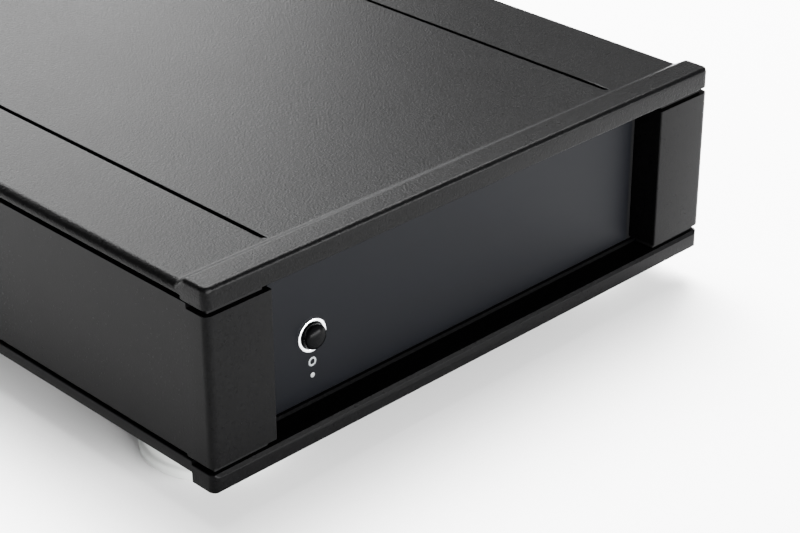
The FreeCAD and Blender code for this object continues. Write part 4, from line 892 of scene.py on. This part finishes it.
class PREAMP_OT_button(bpy.types.Operator):
    """Domed power button, its bright ring, and the switch that it presses"""

    bl_idname = "preamp.button"
    bl_label = "Button"

    def execute(self, context):
        cap_long = 4.5
        stem = 1.6
        low, high, centre, radius = girth("power_button")
        dome = np.linspace(0, math.pi / 2, 14)
        tip = low[1]
        profile = np.stack([radius * np.sin(dome), tip + mm("button_dome") * (1 - np.cos(dome))], axis=1)
        shoulder = tip + cap_long
        tail = [(radius, shoulder), (stem, shoulder), (stem, high[1]), (0, high[1])]
        cap = turned(np.concatenate([profile, tail]), centre, steps=96)
        make("button", cap, "button_black", ["power_button"], body="power_button")
        self.ring()
        dress(["button_ring_nut"], "steel")
        dress(["power_switch"], "black_plastic")
        return {"FINISHED"}

    def ring(self):
        """A ring turned from a section with a full, rounded lip and a narrower threaded neck."""
        well_deep = 3
        low, high, centre, outer = girth("button_ring")
        wall = mm("ring_wall")
        bore = outer - wall
        neck = outer - wall / 2
        well = bore - wall / 2
        seat = box("front_panel")[1][1]
        points = [
            (bore, low[1]), (outer, low[1]), (outer, seat), (neck, seat), (neck, high[1]),
            (well, high[1]), (well, high[1] - well_deep), (bore, high[1] - well_deep),
        ]
        profile = soften(points, [0.45, 0.5, 0.1, 0.1, 0.2, 0.1, 0.1, 0.1], 7)
        make("ring", turned(profile, centre, steps=96), "bright_ring", ["button_ring"])


class PREAMP_OT_feet(bpy.types.Operator):
    """Four turned rubber feet"""

    bl_idname = "preamp.feet"
    bl_label = "Feet"

    def execute(self, context):
        for end in ("front", "rear"):
            for side in ("left", "right"):
                self.foot(f"foot_{end}_{side}")
        return {"FINISHED"}

    def foot(self, node):
        """A cup turned about z: a rounded rim on the floor, a waist above it, and a screw's well below."""
        hole = 2.05
        well = 5
        rim_tall = 3.2
        waist = 1.3
        taper = 4
        low, high, centre, radius = girth(node, "z")
        tall = high[2] - low[2]
        points = [
            (hole, well), (well, well), (well, 0), (radius, 0), (radius, rim_tall),
            (radius - waist, rim_tall + 0.7), (radius - taper, tall), (hole, tall),
        ]
        profile = soften(points, [0.2, 0.3, 0.3, 1.3, 0.9, 0.6, 0.5, 0.1], 7)
        make(node + "_rubber", turned(profile, centre, "z", 96), "pale_foot", [node])


class PREAMP_OT_phono_sockets(bpy.types.Operator):
    """Six phono sockets: gold shells and contacts, white and red insulators"""

    bl_idname = "preamp.phono_sockets"
    bl_label = "Phono sockets"

    def execute(self, context):
        bore = 3.45
        neck = 3.8
        flange = 6.2
        barrel = 4.15
        flange_back = 1
        flange_face = 2.8
        wall = box("rear_panel")[1][1]
        shells = []
        for low, high in solids("phono_socket_shells"):
            spot, _ = middle_line(low, high)
            spot[1] = wall
            start = low[1] - wall
            end = high[1] - wall
            points = [
                (bore, start), (neck, start), (neck, flange_back), (flange, flange_back),
                (flange, flange_face), (barrel, flange_face), (barrel, end), (bore, end),
            ]
            profile = soften(points, [0.05, 0.1, 0.05, 0.25, 0.4, 0.2, 0.3, 0.15], 5)
            shells.append(turned(profile, spot))
        make("socket_shells", shells, "gold_plate", ["phono_socket_shells"])
        self.tubes("phono_socket_insulators_white", "socket_insulators_upper", "white_plastic", 0.2)
        self.tubes("phono_socket_insulators_red", "socket_insulators_lower", "red_plastic", 0.2)
        self.tubes("phono_socket_contacts", "socket_contacts", "gold_plate", 0.12)
        return {"FINISHED"}

    def tubes(self, node, name, slot, edge):
        """Each solid of the node as a sleeve. Of the insulators, a wide one is the washer, whose bore is
        the shell's neck, and a narrow one holds the contact."""
        contact_bore = 1.65
        insulator_bore = 2.15
        washer_bore = 3.85
        grids = []
        for low, high in solids(node):
            spot, outer = middle_line(low, high)
            inner = contact_bore
            if "insulators" in node:
                inner = washer_bore if outer > 5 else insulator_bore
            grids.append(turned(sleeve(outer, inner, low[1], high[1], edge), spot))
        make(name, grids, slot, [node])


class PREAMP_OT_earth_terminal(bpy.types.Operator):
    """Threaded earth stud with its collar, loose washer and knurled knob"""

    bl_idname = "preamp.earth_terminal"
    bl_label = "Earth terminal"

    bore = 2.08

    def execute(self, context):
        self.stud()
        low, high, centre, outer = girth("earth_washer")
        ring = turned(sleeve(outer, self.bore, low[1], high[1], 0.12), centre)
        make("earth_ring", ring, "gold_plate", ["earth_washer"], body="earth_washer")
        self.knob()
        return {"FINISHED"}

    def stud(self):
        """A turned stud with a thread: the radius gains depth times (|2 (turn mod 1) - 1| - 1/2), where
        the turn is the place over the pitch less the share of the circle."""
        pitch = 0.7
        depth = 0.2
        shank = 2
        root = 1.9
        bevel = 0.3
        collar_tall = 1.6
        low, high, centre, collar = girth("earth_post")
        wall = box("rear_panel")[1][1]
        start = wall + 2.4
        end = high[1] - 0.5
        core = [(0, low[1]), (shank - bevel, low[1]), (shank, low[1] + bevel), (shank, wall)]
        core += [(collar - bevel, wall), (collar, wall + bevel), (collar, wall + collar_tall - bevel)]
        core += [(collar - bevel, wall + collar_tall), (root, wall + collar_tall)]
        core += [(root, y) for y in np.arange(start, end, pitch / 8)]
        core += [(root - bevel, high[1]), (0, high[1])]

        def helix(angle, place):
            turn = place / pitch - angle / (2 * math.pi)
            on = (place > start - 0.1) & (place < end)
            return np.where(on, depth * np.abs(2 * (turn % 1) - 1) - depth / 2, 0)

        stud = turned(core, centre, ripple=helix)
        make("earth_stud", stud, "gold_plate", ["earth_post"], crease=50)

    def knob(self):
        """A turned knob whose side is cut by n teeth: the radius drops by a depth times
        (1 - |sin(n angle / 2)|)^2, less and less towards its two ends."""
        teeth = 20
        depth = 0.4
        fade = 0.5
        rim = 3.5
        low, high, centre, outer = girth("earth_knob")
        profile = sleeve(outer, self.bore, low[1], high[1], [0.2, 0.6, 0.6, 0.2], 5)

        def knurl(angle, place):
            tooth = np.abs(np.sin(angle * teeth / 2))
            inside = np.clip((np.minimum(place - low[1], high[1] - place)) / fade, 0, 1)
            return -depth * (1 - tooth) ** 2 * inside * np.where(profile[:, :1] > rim, 1, 0)

        knob = turned(profile, centre, steps=240, ripple=knurl)
        make("earth_nut", knob, "gold_plate", ["earth_knob"], body="earth_knob", crease=45)


class PREAMP_OT_switches(bpy.types.Operator):
    """Setting switches with their sliding levers, and the selector with its ridged knob"""

    bl_idname = "preamp.switches"
    bl_label = "Switches"

    def execute(self, context):
        dress(["setting_switch_bodies"], "switch_blue")
        dress(["selector_switch"], "steel")
        for bank in (1, 2):
            for number in (1, 2, 3):
                node = f"setting_lever_{bank}{number}"
                grid = pillow(*box(node), 0.18, "y")
                make(node + "_tip", grid, "white_plastic", [node], body=node)
        self.knob()
        return {"FINISHED"}

    def knob(self):
        """An outline in plan whose outer end has three ridges, carried up through the knob's height."""
        notch = 0.5
        low, high = box("selector_knob")
        ridge = (high[0] - low[0]) / 7
        end = high[1] - notch
        teeth = [(low[0] + ridge * step, high[1] - notch * (step % 2 == 0)) for step in range(1, 7)]
        points = [(low[0], low[1]), (high[0], low[1]), (high[0], end), *teeth[::-1], (low[0], end)]
        grid = along([soften(points, 0.12, 4)] * 2, [low[2], high[2]], "z")
        make("selector_grip", grid, "black_plastic", ["selector_knob"], body="selector_knob", edge=0.12)


class PREAMP_OT_inlet(bpy.types.Operator):
    """Mains inlet with its blades, and the drawer with its fuse"""

    bl_idname = "preamp.inlet"
    bl_label = "Inlet"

    def execute(self, context):
        dress(["mains_inlet", "fuse_drawer"], "black_plastic")
        blades = [pillow(low, high, 0.6, "y") for low, high in solids("mains_inlet_blades")]
        make("inlet_blades", blades, "nickel", ["mains_inlet_blades"])
        self.grip()
        self.fuse()
        return {"FINISHED"}

    def grip(self):
        """A rounded bar across the drawer's face."""
        half_wide = 4
        half_tall = 0.7
        low, high = box("fuse_drawer")
        x, _, z = (low + high) / 2
        start = (x - half_wide, high[1] - 0.2, z - half_tall)
        end = (x + half_wide, high[1] + 0.9, z + half_tall)
        make("drawer_grip", pillow(start, end, 0.4), "black_plastic", body="fuse_drawer")

    def fuse(self):
        """A glass tube turned about x, with a metal cap on each end."""
        cap = 5
        bevel = 0.4
        low, high, spot, _ = girth("fuse_cartridge", "x")
        radius = (high[2] - low[2]) / 2
        glass = radius - 0.15
        start = low[0] + cap - 0.2
        end = high[0] - cap + 0.2
        tube = turned([(0, start), (glass, start), (glass, end), (0, end)], spot, "x")
        make("fuse_tube", tube, "fuse_glass", ["fuse_cartridge"], body="fuse_drawer")
        caps = []
        for start, end in ((low[0], low[0] + cap), (high[0] - cap, high[0])):
            profile = [(0, start), (radius - bevel, start), (radius, start + bevel)]
            profile += [(radius, end - bevel), (radius - bevel, end), (0, end)]
            caps.append(turned(profile, spot, "x"))
        make("fuse_caps", caps, "nickel", body="fuse_drawer")


class PREAMP_OT_screws(bpy.types.Operator):
    """Every screw that shows, each with a rounded head and a six-sided socket"""

    bl_idname = "preamp.screws"
    bl_label = "Screws"

    def execute(self, context):
        for node, slot, axis, way in (
            ("rear_screws", "black_steel", "y", 1), ("foot_screws", "steel", "z", -1),
            ("case_tie_screws", "black_steel", "z", -1),
        ):
            grids = [self.screw(low, high, axis, way) for low, high in solids(node)]
            make(node + "_turned", grids, slot, [node], crease=28)
        dress(["rear_nuts", "board_spacers"], "nickel")
        dress(["inner_screws", "transformer_bolt_and_nut"], "steel")
        return {"FINISHED"}

    def screw(self, low, high, axis, way):
        """A turned screw whose socket's loops are six-sided: radius a / cos of the angle from the flat's
        middle. The head is at the high end when way is 1 and at the low end when it is -1."""
        first, _, third = AXES[axis]
        head = (high[first] - low[first]) / 2
        shaft = head * 0.53
        tall = head * 0.6
        flat = head * 0.42
        face, tip = (high[third], low[third]) if way > 0 else (low[third], high[third])
        floor = face - way * tall * 0.7
        under = face - way * tall
        profile = np.array([
            (0, floor), (flat, floor), (flat, face - way * 0.12), (flat + 0.15, face), (head - 0.5, face),
            (head - 0.15, face - way * 0.2), (head, face - way * 0.6), (head, under), (shaft, under),
            (shaft, tip + way * 0.4), (shaft - 0.4, tip), (0, tip),
        ])

        def six_sided(angle, place):
            bend = (angle + math.pi / 6) % (math.pi / 3) - math.pi / 6
            size = profile[:, :1]
            socket = np.arange(len(profile))[:, None] < 3
            return np.where(socket, size / np.cos(bend) - size, 0)

        centre, _ = middle_line(low, high, axis)
        return turned(profile, centre, axis, 48, six_sided)


class PREAMP_OT_transformer(bpy.types.Operator):
    """Wound mains transformer between its pads, under its dish"""

    bl_idname = "preamp.transformer"
    bl_label = "Transformer"

    def execute(self, context):
        bore = 12
        corner = 7
        tape_depth = 0.16
        low, high, centre, outer = girth("mains_transformer", "z")
        profile = sleeve(outer, bore, low[2], high[2], corner, 12)

        def windings(angle, place):
            return tape_depth * (np.abs(np.sin(angle * LAPS / 2 + place * 0.05)) - 1)

        ring = turned(profile, centre, "z", LAPS * 8, windings)
        make("transformer_winding", ring, "transformer_wrap", ["mains_transformer"], crease=60)
        dress(["transformer_pads"], "black_rubber")
        dress(["transformer_dish"], "steel")
        return {"FINISHED"}


class PREAMP_OT_components(bpy.types.Operator):
    """Capacitors, relays, chips, transistors and heatsinks on the main board"""

    bl_idname = "preamp.components"
    bl_label = "Components"

    def execute(self, context):
        self.cans("reservoir_capacitors")
        self.cans("coupling_capacitors")
        for node, slot, edge in (
            ("film_capacitors", "red_plastic", 0.7), ("input_relays", "white_plastic", 0.5),
            ("chips_and_transistors", "black_plastic", 0.35),
        ):
            grids = [pillow(low, high, edge) for low, high in solids(node)]
            make(node + "_cased", grids, slot, [node])
        dress(["regulator_heatsinks"], "bare_aluminium")
        return {"FINISHED"}

    def cans(self, node):
        """Each can in a shrunk sleeve with a rolled groove by its foot, and its bare top inside the lip."""
        sunk = 0.8
        sleeves, tops = [], []
        for low, high in solids(node):
            spot, radius = middle_line(low, high, "z")
            spot[2] = low[2]
            tall = high[2] - low[2]
            lip = radius * 0.16
            foot = min(tall * 0.12, 2.4)
            inner = radius - lip
            points = [
                (0, 0), (radius, 0), (radius, foot), (radius - lip * 0.8, foot * 1.45),
                (radius, foot * 1.9), (radius, tall), (inner, tall), (inner, tall - sunk), (0, tall - sunk),
            ]
            profile = soften(points, [0, 0.5, 0.3, 0.3, 0.3, 0.45, 0.2, 0.1, 0], 5)
            sleeves.append(turned(profile, spot, "z", 40))
            disc = [(0, tall - 0.7), (inner - 0.05, tall - 0.7), (inner - 0.3, tall - 0.3), (0, tall - 0.3)]
            tops.append(turned(disc, spot, "z", 40))
        make(node + "_sleeved", sleeves, "black_plastic", [node], finish="capacitor_film")
        make(node + "_tops", tops, "bare_aluminium")


class PREAMP_OT_boards(bpy.types.Operator):
    """Circuit boards, their plugs, the flat cable, the leads and the plain back"""

    bl_idname = "preamp.boards"
    bl_label = "Boards"

    def execute(self, context):
        dress(["rear_panel"], "case_black")
        dress(["main_board", "front_board", "setting_board"], "board_green")
        dress(["board_plugs"], "white_plastic")
        dress(["front_ribbon"], "grey_ribbon")
        dress(["inner_leads"], "lead_grey")
        return {"FINISHED"}


class PREAMP_PT_panel(bpy.types.Panel):
    """Lists the steps, sizes and colours"""

    bl_idname = "PREAMP_PT_panel"
    bl_label = "Phono preamplifier"
    bl_space_type = "VIEW_3D"
    bl_region_type = "UI"
    bl_category = "Preamplifier"

    def draw(self, context):
        for step in STEPS:
            self.layout.operator(step.bl_idname)
        for group in (context.scene.preamp_sizes, context.scene.preamp_colours):
            for name in type(group).__annotations__:
                self.layout.prop(group, name)


STEPS = (
    PREAMP_OT_stage, PREAMP_OT_lid, PREAMP_OT_base, PREAMP_OT_sides, PREAMP_OT_front, PREAMP_OT_button,
    PREAMP_OT_feet, PREAMP_OT_phono_sockets, PREAMP_OT_earth_terminal, PREAMP_OT_switches, PREAMP_OT_inlet,
    PREAMP_OT_screws, PREAMP_OT_transformer, PREAMP_OT_components, PREAMP_OT_boards,
)
CLASSES = (PreampSizes, PreampColours, *STEPS, PREAMP_PT_panel)


def register():
    for item in CLASSES:
        bpy.utils.register_class(item)
    bpy.types.Scene.preamp_sizes = bpy.props.PointerProperty(type=PreampSizes)
    bpy.types.Scene.preamp_colours = bpy.props.PointerProperty(type=PreampColours)


def unregister():
    del bpy.types.Scene.preamp_colours
    del bpy.types.Scene.preamp_sizes
    for item in reversed(CLASSES):
        bpy.utils.unregister_class(item)


def main():
    """Builds every piece in order."""
    register()
    for step in STEPS:
        group, name = step.bl_idname.split(".")
        getattr(getattr(bpy.ops, group), name)()


if __name__ == "__main__":
    main()
